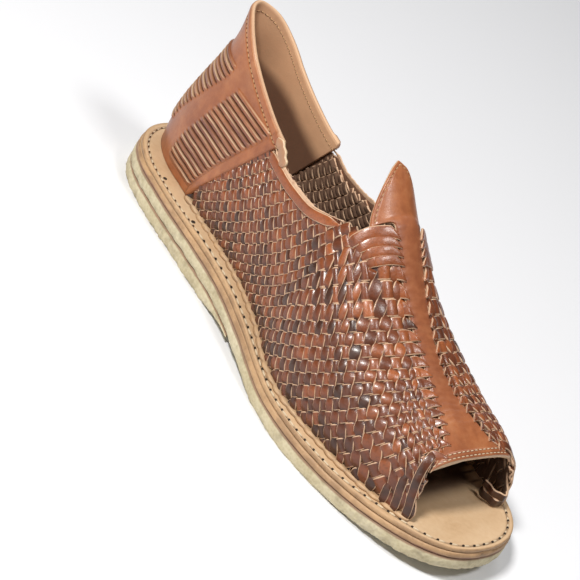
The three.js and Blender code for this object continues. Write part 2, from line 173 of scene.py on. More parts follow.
def angleAtHeight(side, fromToe, height):
    return findAngle(lambda angle: lastPoint(side, fromToe, angle)[..., 2], insoleTop(fromToe) + height)


def angleAtWidth(side, fromToe, halfWidth):
    fromToe, halfWidth = np.broadcast_arrays(np.asarray(fromToe, float), np.asarray(halfWidth, float))
    return findAngle(lambda angle: -np.abs(lastPoint(side, fromToe, angle)[..., 0]), -halfWidth)


def strapHalfWidth(fromToe):
    return smooth(strapPlan, "halfWidth", fromToe)


def borderAt(height):
    return mix(borderFoot, tabPlace["fromToe"], np.minimum(1, np.asarray(height) / tabPlace["height"]))


def unit(vectors):
    return vectors / np.maximum(np.linalg.norm(vectors, axis=-1, keepdims=True), 1e-9)


def lengthAlong(line):
    return np.r_[0, np.cumsum(np.linalg.norm(np.diff(line, axis=0), axis=1))]


def pointsAt(at, length, line):
    return np.stack([np.interp(at, length, line[:, k]) for k in range(3)], -1)


def newObject(name, data):
    thing = bpy.data.objects.new(name, data)
    bpy.context.scene.collection.objects.link(thing)
    return thing


# Materials: an expression on sockets adds the nodes that work it out.
class Line:
    def __init__(self, tree, socket):
        self.tree = tree
        self.socket = socket

    def math(self, operation, first, second):
        node = self.tree.nodes.new("ShaderNodeMath")
        node.operation = operation
        for slot, value in zip(node.inputs, (first, second)):
            if isinstance(value, Line):
                self.tree.links.new(value.socket, slot)
            else:
                slot.default_value = value
        return Line(self.tree, node.outputs[0])

    def __add__(self, other):
        return self.math("ADD", self, other)

    def __radd__(self, other):
        return self.math("ADD", other, self)

    def __sub__(self, other):
        return self.math("SUBTRACT", self, other)

    def __rsub__(self, other):
        return self.math("SUBTRACT", other, self)

    def __mul__(self, other):
        return self.math("MULTIPLY", self, other)

    def above(self, start, end):
        ratio = self.math("DIVIDE", self - start, end - start)
        return self.math("MINIMUM", self.math("MAXIMUM", ratio, 0.0), 1.0)


class Finish:
    def __init__(self, name, roughness=0.5, coat=0.0, coatRoughness=0.2):
        self.material = bpy.data.materials.new(name)
        self.material.use_nodes = True
        self.tree = self.material.node_tree
        self.shader = self.tree.nodes["Principled BSDF"]
        self.set("Roughness", roughness)
        self.set("Coat Weight", coat)
        self.set("Coat Roughness", coatRoughness)
        self.place = self.node("ShaderNodeTexCoord", output="Object")

    def node(self, kind, settings=None, inputs=None, output=0):
        node = self.tree.nodes.new(kind)
        for key, value in (settings or {}).items():
            if key == "stops":
                ramp = node.color_ramp
                while len(ramp.elements) < len(value):
                    ramp.elements.new(0.5)
                for element, (position, colour) in zip(ramp.elements, value):
                    element.position = position
                    element.color = (*colour, 1)
            else:
                setattr(node, key, value)
        for key, value in (inputs or {}).items():
            if isinstance(value, Line):
                self.tree.links.new(value.socket, node.inputs[key])
            else:
                node.inputs[key].default_value = value
        return Line(self.tree, node.outputs[output])

    def set(self, key, value):
        if isinstance(value, Line):
            self.tree.links.new(value.socket, self.shader.inputs[key])
        else:
            self.shader.inputs[key].default_value = value

    def attribute(self, name):
        return self.node("ShaderNodeAttribute", {"attribute_name": name}, output="Fac")

    def noise(self, scale, detail=3.0, stretch=None, roughness=0.55):
        place = self.place
        if stretch:
            place = self.node("ShaderNodeMapping", None, {"Vector": place, "Scale": stretch})
        inputs = {"Vector": place, "Scale": scale, "Detail": detail, "Roughness": roughness}
        return self.node("ShaderNodeTexNoise", None, inputs, "Fac")

    def cells(self, scale):
        inputs = {"Vector": self.place, "Scale": scale}
        return self.node("ShaderNodeTexVoronoi", None, inputs, "Distance")

    def ramp(self, factor, *stops):
        return self.node("ShaderNodeValToRGB", {"stops": stops}, {"Fac": factor}, "Color")

    def blend(self, factor, first, second):
        first = (*first, 1) if isinstance(first, tuple) else first
        second = (*second, 1) if isinstance(second, tuple) else second
        inputs = {0: factor, 6: first, 7: second}
        return self.node("ShaderNodeMix", {"data_type": "RGBA"}, inputs, 2)

    def bump(self, height, distance, strength, normal=None):
        inputs = {"Height": height, "Distance": distance * mm, "Strength": strength}
        if normal:
            inputs["Normal"] = normal
        return self.node("ShaderNodeBump", None, inputs, "Normal")


leather = {
    "cutEdge": (0.62, 0.41, 0.265),
    # the flesh side's colour, partly its own and partly darkened to paint the shade inside the shoe
    "flesh": (0.20, 0.115, 0.07),
    "maroon": (0.052, 0.018, 0.009),
    "redBrown": (0.155, 0.040, 0.014),
    "tan": (0.36, 0.102, 0.030),
    "smooth": (0.365, 0.120, 0.042),
    "smoothDark": (0.215, 0.060, 0.022),
    "smoothLight": (0.48, 0.200, 0.082),
    "natural": (0.58, 0.39, 0.225),
    "naturalDark": (0.43, 0.26, 0.13),
    "naturalPale": (0.68, 0.50, 0.32),
}


def stripFinish():
    f = Finish("woven_strips", coat=0.22, coatRoughness=0.12)
    tone, cut, flesh, deep = (f.attribute(name) for name in ("tone", "cut", "flesh", "deep"))
    cloud = f.noise(90.0, 4.0)
    stain = tone * 0.85 + cloud * 0.6 - 0.22
    colour = f.ramp(stain, (0.08, leather["maroon"]), (0.38, leather["redBrown"]), (0.92, leather["tan"]))
    streak = f.noise(900.0, 3.0)
    colour = f.blend(streak.above(0.45, 0.8) * 0.45, colour, leather["maroon"])
    # Painted shade: near black where a strip passes under a crossing strip or dips towards the sole.
    colour = f.blend(deep * 0.9, colour, (0.018, 0.007, 0.005))
    # The flesh side's colour is partly its own and partly painted shade inside the shoe.
    colour = f.blend(flesh * 0.9, colour, f.blend(streak, (0.09, 0.045, 0.027), leather["flesh"]))
    worn = cut * (0.36 + f.noise(350.0, 2.0) * 0.95)
    colour = f.blend(worn.above(0.3, 0.75), colour, leather["cutEdge"])
    f.set("Base Color", colour)
    f.set("Roughness", 0.27 + flesh * 0.5 + cut * 0.35 + f.noise(400.0) * 0.16)
    f.set("Coat Weight", 0.22 - flesh * 0.22)
    grain = f.noise(1400.0, 4.0) + f.cells(1900.0) * 0.5
    wrinkle = f.noise(260.0, 3.0)
    f.set("Normal", f.bump(wrinkle, 0.5, 0.5, f.bump(grain, 0.09, 0.7)))
    return f.material


def smoothFinish():
    f = Finish("smooth_leather", coat=0.2, coatRoughness=0.18)
    cut, flesh, deep, tone = (f.attribute(key) for key in ("cut", "flesh", "deep", "tone"))
    cloud = f.noise(45.0, 4.0)
    fine = f.noise(260.0, 4.0)
    colour = f.ramp(cloud * 0.6 + fine * 0.4, (0.25, leather["smoothDark"]), (0.5, leather["smooth"]),
                    (0.78, leather["smoothLight"]))
    mottle = f.noise(120.0, 5.0, (1.0, 0.5, 0.8)).above(0.42, 0.7)
    colour = f.blend(mottle * 0.6, colour, leather["smoothDark"])
    colour = f.blend(tone, colour, f.blend(fine, (0.10, 0.028, 0.018), (0.27, 0.075, 0.035)))
    # Painted shade in the grooves between the counter's slats, beside its band and along the strap's stitch
    # lines.
    colour = f.blend(deep * (1 - flesh), colour, (0.030, 0.011, 0.007))
    lining = f.blend(f.noise(60.0), (0.62, 0.34, 0.19), (0.78, 0.47, 0.27))
    # Painted shadow on the lining: the lit lining colour turns dark brown where the painted shade is set.
    colour = f.blend(flesh, colour, f.blend(deep, lining, (0.10, 0.040, 0.022)))
    colour = f.blend(cut, colour, leather["naturalPale"])
    f.set("Base Color", colour)
    f.set("Roughness", 0.34 + flesh * 0.3 + cut * 0.25 + fine * 0.12)
    f.set("Coat Weight", 0.2 - flesh * 0.2)
    grain = f.noise(1200.0, 4.0) + f.cells(1500.0) * 0.6
    creases = f.noise(160.0, 4.0, (0.35, 1.9, 1.0))
    f.set("Normal", f.bump(creases, 0.35, 0.55, f.bump(grain, 0.07, 0.6)))
    return f.material


def naturalFinish():
    f = Finish("natural_leather", roughness=0.55)
    cloud = f.noise(35.0, 5.0)
    fine = f.noise(500.0, 4.0)
    colour = f.ramp(cloud * 0.7 + fine * 0.3, (0.2, leather["naturalDark"]), (0.48, leather["natural"]),
                    (0.8, leather["naturalPale"]))
    glue, cut = f.attribute("glue"), f.attribute("cut")
    layers = f.noise(180.0, 3.0, (1.0, 1.0, 9.0))
    colour = f.blend(cut * (0.25 + layers * 0.45), colour, (0.50, 0.28, 0.12))
    patch = f.noise(28.0, 3.0)
    smear = (glue * 0.75 + f.noise(120.0, 4.0) * 0.7 + patch * 1.2 - 1.14).above(0.05, 0.45)
    colour = f.blend(smear * glue.above(0.02, 0.3) * 0.9, colour, (0.17, 0.045, 0.035))
    grime = (f.noise(70.0, 6.0, None, 0.7) * cut.above(0.1, 0.6)).above(0.38, 0.58)
    colour = f.blend(grime * 0.7, colour, (0.27, 0.15, 0.075))
    # Painted shade in the insole's stitch groove, on the seat under the vamp and between the welt lip's
    # humps.
    colour = f.blend(f.attribute("deep"), colour, (0.05, 0.02, 0.01))
    f.set("Base Color", colour)
    f.set("Roughness", 0.45 + fine * 0.25)
    f.set("Normal", f.bump(f.noise(220.0, 4.0), 0.4, 0.5, f.bump(f.noise(1500.0, 3.0), 0.06, 0.6)))
    return f.material


def crepeFinish():
    f = Finish("crepe", roughness=0.75)
    cloud = f.noise(60.0, 4.0)
    crumb = f.cells(700.0)
    cream = f.ramp(cloud * 0.8 + crumb * 0.3, (0.2, (0.44, 0.36, 0.215)), (0.5, (0.57, 0.49, 0.31)),
                   (0.8, (0.69, 0.61, 0.43)))
    glue = f.attribute("glue")
    smear = (glue + f.noise(90.0, 4.0) * 0.8 - 0.8).above(0.1, 0.5)
    colour = f.blend(smear * 0.75, cream, (0.23, 0.10, 0.06))
    dirt = f.noise(150.0, 6.0).above(0.52, 0.72)
    f.set("Base Color", f.blend(dirt * 0.5, colour, (0.22, 0.17, 0.10)))
    f.set("Normal", f.bump(f.noise(420.0, 5.0), 0.5, 0.7, f.bump(crumb, 0.3, 0.5)))
    return f.material


def plainFinish(name, colour, roughness, shade=0.7):
    f = Finish(name, roughness=roughness)
    f.set("Base Color", f.blend(f.noise(900.0), tuple(part * shade for part in colour), colour))
    f.set("Normal", f.bump(f.noise(1500.0, 3.0), 0.1, 0.6))
    return f.material


# Meshes are gathered as rings of points, then built once.
class Body:
    def __init__(self):
        self.points = []
        self.faces = []
        self.values = {}
        self.count = 0

    def add(self, points, faces, **values):
        flat = np.asarray(points, float).reshape(-1, 3)
        self.faces.extend([[corner + self.count for corner in face] for face in faces])
        self.points.append(flat)
        for key in {**self.values, **values}:
            self.values.setdefault(key, [np.zeros(self.count)])
            value = np.broadcast_to(values.get(key, 0.0), np.asarray(points).shape[:-1])
            self.values[key].append(np.asarray(value, float).reshape(-1))
        self.count += len(flat)

    def tube(self, rings, capped=True, **values):
        rows, around = rings.shape[:2]
        index = np.arange(rows * around).reshape(rows, around)
        side = np.stack([index[:-1], np.roll(index[:-1], -1, 1), np.roll(index[1:], -1, 1), index[1:]], -1)
        faces = side.reshape(-1, 4).tolist()
        if capped:
            faces += [index[0][::-1].tolist(), index[-1].tolist()]
        self.add(rings, faces, **values)

    def build(self, name, material, flat=False, merge=False):
        mesh = bpy.data.meshes.new(name)
        points = np.concatenate(self.points) + (sideShift, 0, 0)
        mesh.from_pydata((points * mm).tolist(), [], self.faces)
        for key, parts in self.values.items():
            layer = mesh.attributes.new(key, "FLOAT", "POINT")
            layer.data.foreach_set("value", np.concatenate(parts).astype(np.float32))
        work = bmesh.new()
        work.from_mesh(mesh)
        if merge:
            bmesh.ops.remove_doubles(work, verts=work.verts, dist=0.01 * mm)
        bmesh.ops.dissolve_degenerate(work, dist=0.001 * mm, edges=work.edges)
        bmesh.ops.recalc_face_normals(work, faces=work.faces)
        work.to_mesh(mesh)
        work.free()
        mesh.polygons.foreach_set("use_smooth", [not flat] * len(mesh.polygons))
        mesh.materials.append(material)
        return newObject(name, mesh)


def gridFaces(index):
    corners = [index[:-1, :-1], index[:-1, 1:], index[1:, 1:], index[1:, :-1]]
    return np.stack(corners, -1).reshape(-1, 4).tolist()


def handIn(piece, slot, *nodes):
    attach(piece, "root")
    if nodes:
        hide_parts(*nodes)


# Sole: rings that follow the outline, a flat cap above and below. A share of 0 is a layer's lower
# face and 1 its upper one, and glue, cut and the painted shade (darker where shade falls) are what the
# materials read.
sole = {"perSide": 240, "capColumns": 10, "slowWaves": 9, "slowSize": 0.4}
crepeEdge = {
    "share": [0, 0, 0.08, 0.3, 0.55, 0.8, 0.95, 1],
    "inset": [1.1, 0.3, -0.1, -0.5, -0.5, -0.3, 0, 0.35],
    "rough": [0, 0.5, 0.3, 0.1, 0.075, 0.05, 0.05, 0],
    "glue": [0, 0, 0, 0, 0, 0.35, 1, 1],
}
midsoleEdge = {
    "share": [0, 0.06, 0.3, 0.6, 0.85, 0.97, 1],
    "inset": [0.5, 0.1, -0.15, 0, 0.3, 0.7, 1.2],
    "rough": [0.06, 0.06, 0.06, 0.06, 0.06, 0.06, 0.06],
    "glue": [1, 1, 0.35, 0.1, 0, 0, 0],
    "cut": [1, 1, 1, 1, 1, 0.5, 0],
}
insoleEdge = {
    "share": [0, 0.1, 0.75, 0.96],
    "inset": [1.3, 0.8, 0.8, 1.15],
    "rough": [0, 0, 0, 0],
    "cut": [0.6, 1, 1, 0.6],
}
insoleGroove = {
    "beside": [-1.3, -0.7, -0.25, 0.25, 0.7, 1.4, 3.5, 7.0],
    "depth": [0, 0.05, 0.5, 0.5, 0, 0, 0, 0],
    # painted shade in the bottom of the groove
    "deep": [0, 0.1, 0.55, 0.55, 0.1, 0, 0, 0],
}
insoleShade = {"from": 30, "full": 40, "fades": 110, "gone": 150, "slant": 0.10, "depth": 0.9}
stitchInset = {
    "fromToe": [0, 12, 29, 50, 90, 120, 160, 190, 236, 262, 280],
    "inset": [3.2, 3.6, 4.3, 2.9, 2.3, 3.0, 3.4, 3.4, 2.8, 3.8, 4.4],
}


def outlineSides(inset, start=0.0):
    turn = np.linspace(0, math.pi, sole["perSide"] + 1)
    fromToe = mix(start, shoeLength, (1 - np.cos(turn)) / 2)
    reach = [sideSign[side] * smooth(soleOutline, side, fromToe) * endRound(fromToe) for side in sideSign]
    left, right = (np.stack([x, fromToe], -1) for x in reach)
    loop = np.concatenate([left, right[::-1]])
    around = unit(np.roll(loop, -2, 0) - np.roll(loop, 2, 0))
    outward = np.stack([-around[:, 1], around[:, 0]], -1)
    half = len(loop) // 2
    for first, second in ((0, -1), (half - 1, half)):
        outward[[first, second]] = unit(outward[first] + outward[second])
    if start > 0:
        outward[[0, -1]] = outward[[2, -3]]
    return loop - outward * np.asarray(inset).reshape(-1, 1)


def soleRing(inset, height, start=0.0):
    loop = outlineSides(inset, start)
    return np.stack([loop[:, 0], loop[:, 1] - shoeLength / 2, height(loop[:, 1])], -1)


def wobble(seed):
    count = 2 * (sole["perSide"] + 1)
    rough = np.random.default_rng(seed).normal(0, 1, count)
    soft = np.convolve(np.r_[rough, rough], np.ones(3) / 3, "same")[count // 2:count // 2 + count]
    return soft + np.sin(np.linspace(0, 2 * math.pi * sole["slowWaves"], count)) * sole["slowSize"]


def edgeRings(table, low, high, seed, start=0.0):
    rings = []
    for number, (share, inset, rough) in enumerate(zip(table["share"], table["inset"], table["rough"])):
        edge = inset + wobble(seed + number) * rough
        rings.append(soleRing(edge, lambda at: mix(low(at), high(at), share), start))
    return rings


def layerBody(rings, values):
    body = Body()
    around = {key: np.array(value, float)[:, None] for key, value in values.items()}
    body.tube(np.stack(rings), capped=False, **around)
    half = len(rings[0]) // 2
    across = np.linspace(0, 1, sole["capColumns"] + 1)[None, :, None]
    faces = gridFaces(np.arange(half * (sole["capColumns"] + 1)).reshape(half, -1))
    for at in (0, -1):
        left, right = rings[at][:half][:, None], rings[at][half:][::-1][:, None]
        body.add(mix(left, right, across), faces, **{key: value[at] for key, value in values.items()})
    return body


def crepeLayer(name, low, high, seed, material, start=0.0):
    rings = edgeRings(crepeEdge, low, high, seed, start)
    return layerBody(rings, {"glue": crepeEdge["glue"]}).build(name, material, merge=True)


def midsolePiece(material):
    low = lambda at: soleBottom(at) + outsoleThickness
    rings = edgeRings(midsoleEdge, low, lambda at: low(at) + midsoleThickness - seatGap, 40)
    body = layerBody(rings, {key: midsoleEdge[key] for key in ("glue", "cut")})
    return body.build("midsole_leather", material, merge=True)


def insolePiece(material):
    rings = edgeRings(insoleEdge, lambda at: insoleTop(at) - insoleThickness, insoleTop, 0)
    line = smooth(stitchInset, "inset", outlineSides(0.0)[:, 1])
    for beside, depth in zip(insoleGroove["beside"], insoleGroove["depth"]):
        margin = insoleEdge["inset"][0] + 0.05 * (beside + 2)
        rings.append(soleRing(np.maximum(line + beside, margin), lambda at: insoleTop(at) - depth))
    bare = [0.0] * len(insoleEdge["share"])
    flat = [0.0] * len(insoleGroove["beside"])
    body = layerBody(rings, {"deep": bare + insoleGroove["deep"], "cut": insoleEdge["cut"] + flat,
                             "glue": bare + flat})
    seat = body.points[-1]
    fromToe = seat[:, 1] + shoeLength / 2
    shade, slanted = insoleShade, fromToe - insoleShade["slant"] * seat[:, 0]
    # Painted shade on the seat under the vamp, fading out towards the heel.
    body.values["deep"][-1] = shade["depth"] * ease(shade["from"], shade["full"], slanted) * (
        1 - ease(shade["fades"], shade["gone"], fromToe))
    return body.build("insole_leather", material, merge=True)


# The woven sides. A place on them is a row along the sole (0 at the toe opening, 31 at the heel
# counter) and a share of the way up (0 at the sole, 1 at the shoulder or the top edge).
weave = {
    "fine": 6,
    "shareStep": 0.01,
    "shareEnd": 1.4,
    "pathPoints": 90,
    "middle": -1.0,
    "lift": 0.72,
    "thickness": 1.2,
    "lastRow": 31,
    "hiddenRow": 31.34,
    "bareFrom": 1.0,
    "bareRow": 15.0,
    "counterLift": -0.75,
}
risingFeet = {"first": 0.5, "last": 37, "foot": [0, 13, 19, 40], "step": [1.35, 1.32, 1.06, 1.02]}
runningFeet = {"first": -12.0, "last": 31, "foot": [-1, 2], "step": [0.95, 0.62]}
risingLean = {
    "foot": [0, 3, 8, 12, 15, 19, 24, 28, 31, 36],
    "lean": [2.5, 4.2, 7.2, 9.8, 11.6, 12.9, 12, 9, 7, 5],
}
runningLean = {
    "foot": [-12, 2, 6, 10, 18, 31],
    "low": [-1.5, -1.5, 4.5, 6.0, 9, 9],
    "high": [12, 12, 8, 7, 7, 7],
}


def footAt(row):
    return mix(toeOpening["foot"], borderFoot, row / (rowCount["strap"] + rowCount["wing"]))


def strapPath(side, row, columns):
    along = row / rowCount["strap"]
    crest = mix(toeOpening["crest"], throat["ridge"], along)
    shoulderAt = crest + (throat["corner"] - throat["ridge"]) * along ** 4
    half = float(strapHalfWidth(crest))
    stripEnd = float(angleAtWidth(side, crest, half + 0.4))
    corner = float(angleAtWidth(side, throat["corner"], throat["halfWidth"]))
    wing, strap = columnCount["wing"], columnCount["strap"]
    shoulder = mix(stripEnd * wing / strap, corner, along ** 3)
    low = np.minimum(columns, wing) / wing
    past = np.clip((columns - wing) / (strap - wing), 0, 1)
    fromToe = np.where(columns <= wing, mix(footAt(row), shoulderAt, low), mix(shoulderAt, crest, past))
    angle = np.where(columns <= wing, shoulder * low, mix(shoulder, stripEnd, past))
    points = lastPoint(side, fromToe, angle)
    beyond = angleAtWidth(side, crest, np.maximum(half - np.arange(1.0, 5.0), 0.2))
    return np.concatenate([points, lastPoint(side, crest, beyond)])


def wingPath(side, row, columns):
    along = (row - rowCount["strap"]) / rowCount["wing"]
    share = columns / columnCount["wing"]
    crest = mix(throat["corner"], float(borderAt(weaveTopline[side][-1])), along)
    top = float(smooth(weaveTopline, side, crest))
    strapSide = strapPath(side, rowCount["strap"], columns)[:len(columns)]
    rise = strapSide[:, 2] - insoleTop(throat["corner"])
    throatShare = rise / rise[-1]
    fromToe = mix(footAt(row), crest, share)
    height = top * mix(throatShare, share, along)
    angle = np.where(columns > 0, angleAtHeight(side, fromToe, height), 0.0)
    return lastPoint(side, fromToe, angle)


def sideGrid(side):
    wing, strap = columnCount["wing"], columnCount["strap"]
    fine = weave["fine"]
    shares = np.arange(0, weave["shareEnd"] + 1e-9, weave["shareStep"])
    rows = np.arange((weave["lastRow"] + 1) * fine + 1) / fine
    points, ends = [], []
    for row in rows:
        if row < rowCount["strap"]:
            path = strapPath(side, row, np.linspace(0, strap, weave["pathPoints"]))
            length = lengthAlong(path)
            columns = np.linspace(0, strap, weave["pathPoints"])
            shoulder = np.interp(wing, columns, length[:weave["pathPoints"]])
            ends.append(length[weave["pathPoints"] - 1] / shoulder)
        else:
            path = wingPath(side, row, np.linspace(0, wing, weave["pathPoints"]))
            length = lengthAlong(path)
            shoulder = length[-1]
            ends.append(1.0)
        points.append(pointsAt(shares * shoulder, length, path))
    points = np.array(points)
    normal = unit(np.cross(np.gradient(points, axis=0), np.gradient(points, axis=1)))
    flat = np.linalg.norm(np.gradient(points, axis=1), axis=-1) < 1e-6
    for i in range(len(rows)):
        good = np.flatnonzero(~flat[i])[:-2]
        normal[i] = normal[i][np.minimum(np.arange(len(shares)), good[-1])]
    outside = np.array([sideSign[side], 0, 0.6])
    normal *= np.sign((normal * outside).sum(-1, keepdims=True) + 1e-9)
    return {"points": points, "normal": normal, "ends": np.array(ends), "rows": rows}


def onSide(grid, key, row, share):
    values = grid[key]
    row, share = np.broadcast_arrays(np.asarray(row, float), np.asarray(share, float))
    i = np.clip(row * weave["fine"], 0, values.shape[0] - 1.001)
    j = np.clip(share / weave["shareStep"], 0, values.shape[1] - 1.001)
    low, left = np.floor(i).astype(int), np.floor(j).astype(int)
    a, b = (i - low)[:, None], (j - left)[:, None]
    near = mix(values[low, left], values[low, left + 1], b)
    return mix(near, mix(values[low + 1, left], values[low + 1, left + 1], b), a)


def risingRow(foot, share):
    return foot - np.interp(foot, risingLean["foot"], risingLean["lean"]) * (share - 0.42 * share * share)


def runningRow(foot, share):
    low = np.interp(foot, runningLean["foot"], runningLean["low"])
    high = np.interp(foot, runningLean["foot"], runningLean["high"])
    return foot + low * share + high * share * share / 2


def feet(table):
    places = [table["first"]]
    while places[-1] < table["last"]:
        places.append(places[-1] + np.interp(places[-1], table["foot"], table["step"]))
    return np.array(places)


def footOf(way, row, share):
    every = np.linspace(-20, 48, 500)
    return np.array([np.interp(r, way(every, g), every) for r, g in zip(row, share)])


# A strip's section: (share of the half width, share of the thickness, cut edge, flesh side).
stripSection = np.array([
    (-0.92, 0.44, 0.9, 0), (-0.78, 0.48, 0, 0), (-0.35, 0.53, 0, 0), (0.35, 0.53, 0, 0), (0.78, 0.48, 0, 0),
    (0.92, 0.44, 0.9, 0), (1.0, 0.30, 1, 0), (1.0, -0.34, 1, 0.2), (0.85, -0.5, 0.2, 1),
    (-0.85, -0.5, 0.2, 1), (-1.0, -0.34, 1, 0.2), (-1.0, 0.30, 1, 0),
])


def strip(body, centre, across, normal, half, lift, tone, deep=0.0, crown=0.16, thickness=None, pale=0.0):
    s, h, cut, flesh = stripSection.T
    full = lambda value: np.broadcast_to(value, len(centre))[:, None]
    half, lift, tone, deep = full(half), full(lift), full(tone), full(deep)
    rise = lift + h * (thickness or weave["thickness"]) + crown * (1 - s * s) * np.sign(h + 0.6)
    rings = centre[:, None] + across[:, None] * (s * half)[..., None] + normal[:, None] * rise[..., None]
    body.tube(rings, tone=tone, cut=np.maximum(cut, pale), flesh=flesh, deep=deep)


def pillow(phase):
    wave = np.cos(math.pi * (phase - 0.5))
    return np.sign(wave) * np.abs(wave) ** 0.75


def acrossOf(centre, normal):
    return unit(np.cross(normal, np.gradient(centre, axis=0)))


risingStrips = {
    "way": risingRow,
    "feet": risingFeet,
    "turn": 1,
    "segments": 5,
    "reach": 10.5,
    "width": 0.47,
    "swell": 0.02,
    "footNarrow": 0.42,
    "darker": 0.0,
}
runningStrips = {
    "way": runningRow,
    "feet": runningFeet,
    "turn": -1,
    "segments": 4,
    "reach": 6.5,
    "width": 0.50,
    "swell": 0.11,
    "footNarrow": 0.5,
    "darker": 0.04,
}
spread = {"width": (0.95, 1.04), "cells": 200, "cellTone": 0.42, "cell": 0.20, "tone": 0.07, "aside": 0.1}


def stripWay(grid, way, foot, step):
    # Where a strip lies inside the woven side, and how wide its lane is.
    share = np.linspace(0, weave["shareEnd"], 800)
    row = way(foot, share)
    end = np.interp(row, grid["rows"], grid["ends"])
    use = np.flatnonzero((row >= 0) & (row <= weave["hiddenRow"]) & (share <= end))
    if len(use) < 20:
        return None
    stop = np.flatnonzero(np.diff(use) > 1)
    use = use[:stop[0] + 1] if len(stop) else use
    share, row = share[use], row[use]
    centre = onSide(grid, "points", row, share)
    if lengthAlong(centre)[-1] < 7:
        return None
    before = onSide(grid, "points", way(foot - step / 2, share), share)
    after = onSide(grid, "points", way(foot + step / 2, share), share)
    return {"row": row, "share": share, "centre": centre, "lane": after - before, "end": end[use],
            "normal": unit(onSide(grid, "normal", row, share))}


def softened(vectors, width=7):
    padded = np.pad(vectors, ((width // 2, width // 2), (0, 0)), "edge")
    kernel = np.ones(width) / width
    return unit(np.stack([np.convolve(padded[:, k], kernel, "valid") for k in range(3)], -1))


def stripLine(grid, lie, kind, other, number, rng):
    # One strip over and under those that cross it: its line, width, lift and tone.
    crossed = feet(other["feet"])
    foot = footOf(other["way"], lie["row"], lie["share"])
    crossing = np.interp(foot, crossed, np.arange(len(crossed)) + 0.5)
    count = max(int(abs(crossing[-1] - crossing[0]) * kind["segments"]), 12)
    length = lengthAlong(lie["centre"])
    at = np.linspace(0, length[-1], count)
    centre, normal, lane = (pointsAt(at, length, lie[key]) for key in ("centre", "normal", "lane"))
    row, share, end = (np.interp(at, length, lie[key]) for key in ("row", "share", "end"))
    level = np.interp(at, length, crossing)
    normal = unit(normal)
    across = unit(np.cross(normal, unit(np.gradient(centre, axis=0))))
    across *= np.sign((across * lane).sum(-1, keepdims=True))
    normal, across = softened(normal), softened(across)
    wave = pillow(level) * (kind["turn"] if number % 2 == 0 else -kind["turn"])
    reach = np.clip(np.abs((across * lane).sum(-1)), 1.2, kind["reach"])
    half = reach * (kind["width"] + kind["swell"] * wave) * rng.uniform(*spread["width"])
    if kind is risingStrips:
        half = mix(half, reach * 0.54, ease(14.0, 15.5, row) * ease(0.85, 1.0, share) * (row < 18))
    cells = np.clip(spread["cellTone"] + rng.normal(0, spread["cell"], spread["cells"]), 0, 1)
    tone = cells[np.floor(level).astype(int)] + rng.normal(0, spread["tone"])
    up = share / end
    # The tone is lighter towards the top of the side and darker towards the sole.
    tone = tone + 0.14 * ease(0.45, 1.0, up) - 0.16 * (1 - ease(0.0, 0.35, up)) - kind["darker"]
    fromSole = 1 - ease(0.0, 3.0, at) if share[0] < 0.01 else np.zeros(count)
    half = half * (1 - kind["footNarrow"] * fromSole)
    centre = centre + across * rng.normal(0, spread["aside"])
    centre = centre + np.array([0, 0, -1.4]) * (fromSole ** 2)[:, None]
    lift = weave["middle"] + weave["lift"] * wave - 0.4 * fromSole
    # Painted shade where the strip runs under a crossing strip and where it dips into the sole.
    deep = np.maximum(fromSole * 0.6, 0.8 * (1 - ease(-0.2, 0.7, wave)))
    return {"centre": centre, "across": across, "normal": normal, "half": half, "lift": lift, "tone": tone,
            "deep": deep}, row, share


def weaveStrips(side, grid, body, rng, kind, other):
    places = feet(kind["feet"])
    rising = kind is risingStrips
    for number, foot in enumerate(places):
        step = places[min(number + 1, len(places) - 1)] - places[min(number, len(places) - 2)]
        lie = stripWay(grid, kind["way"], foot, step)
        if lie is None or rising and foot > risingFeet["last"]:
            continue
        line, row, share = stripLine(grid, lie, kind, other, number, rng)
        bare = ease(weave["bareFrom"] - 0.04, weave["bareFrom"], share) * ease(
            weave["bareRow"] - 0.3, weave["bareRow"], row) * (row < rowCount["strap"] + 0.3)
        atStrap = row[-1] < rowCount["strap"] and share[-1] > 0.97
        atCounter = row[-1] > weave["lastRow"] - 0.2
        atThroat = rising and 15.2 < row[-1] < 17.4 and share[-1] > 1.0
        keep = len(row)
        if rising:
            line["lift"] = mix(line["lift"], weave["middle"] + weave["lift"], bare)
        elif bare.max() > 0.5:
            keep = np.flatnonzero(bare > 0.5)[0]
            if keep < 8:
                continue
            atStrap = True
        if atThroat:
            keep = int((share < 0.97).sum())
        line = {key: values[:keep] for key, values in line.items()}
        if atCounter:
            line["lift"] = mix(line["lift"], weave["counterLift"], ease(30.6, 31.1, row[:keep]))
            strip(body, **line)
        elif rising and atStrap and not atThroat:
            strip(body, *tipped(**line))
        elif atStrap or atThroat or side == "medial":
            line["lift"] = line["lift"] - 0.5 * ease(0.0, 1.0, np.linspace(-2, 1, keep))
            strip(body, **line)
        else:
            wrapStrip(body, **line)


# Straight strips beside the toe opening, the smooth strip and the frayed lining along the top edge
# behind the throat, and the smooth strips beside the throat.
toeStrips = {"row": [0.30, 1.12, 1.95], "top": [1.16, 0.60, 0.34], "slant": [0.45, 0.70, 0.70]}
edgeBands = {
    "share": [0.985, 1.0],
    "above": [0.3, 2.5],
    "half": [2.3, 0.8],
    "lift": [0.45, -0.1],
    "thickness": [1.2, 0.7],
    "pale": [0.0, 1.0],
}
throatBands = {
    "row": [16.62, 16.22, 15.66, 15.10],
    "low": [0.86, 0.89, 0.93, 0.96],
    "half": [2.7, 2.35, 2.35, 2.35],
    "beyond": [1.3, 0, 0, 0],
}


def laneOn(grid, row, share):
    centre = onSide(grid, "points", row, share)
    normal = softened(onSide(grid, "normal", row, share))
    return centre, acrossOf(centre, normal), normal


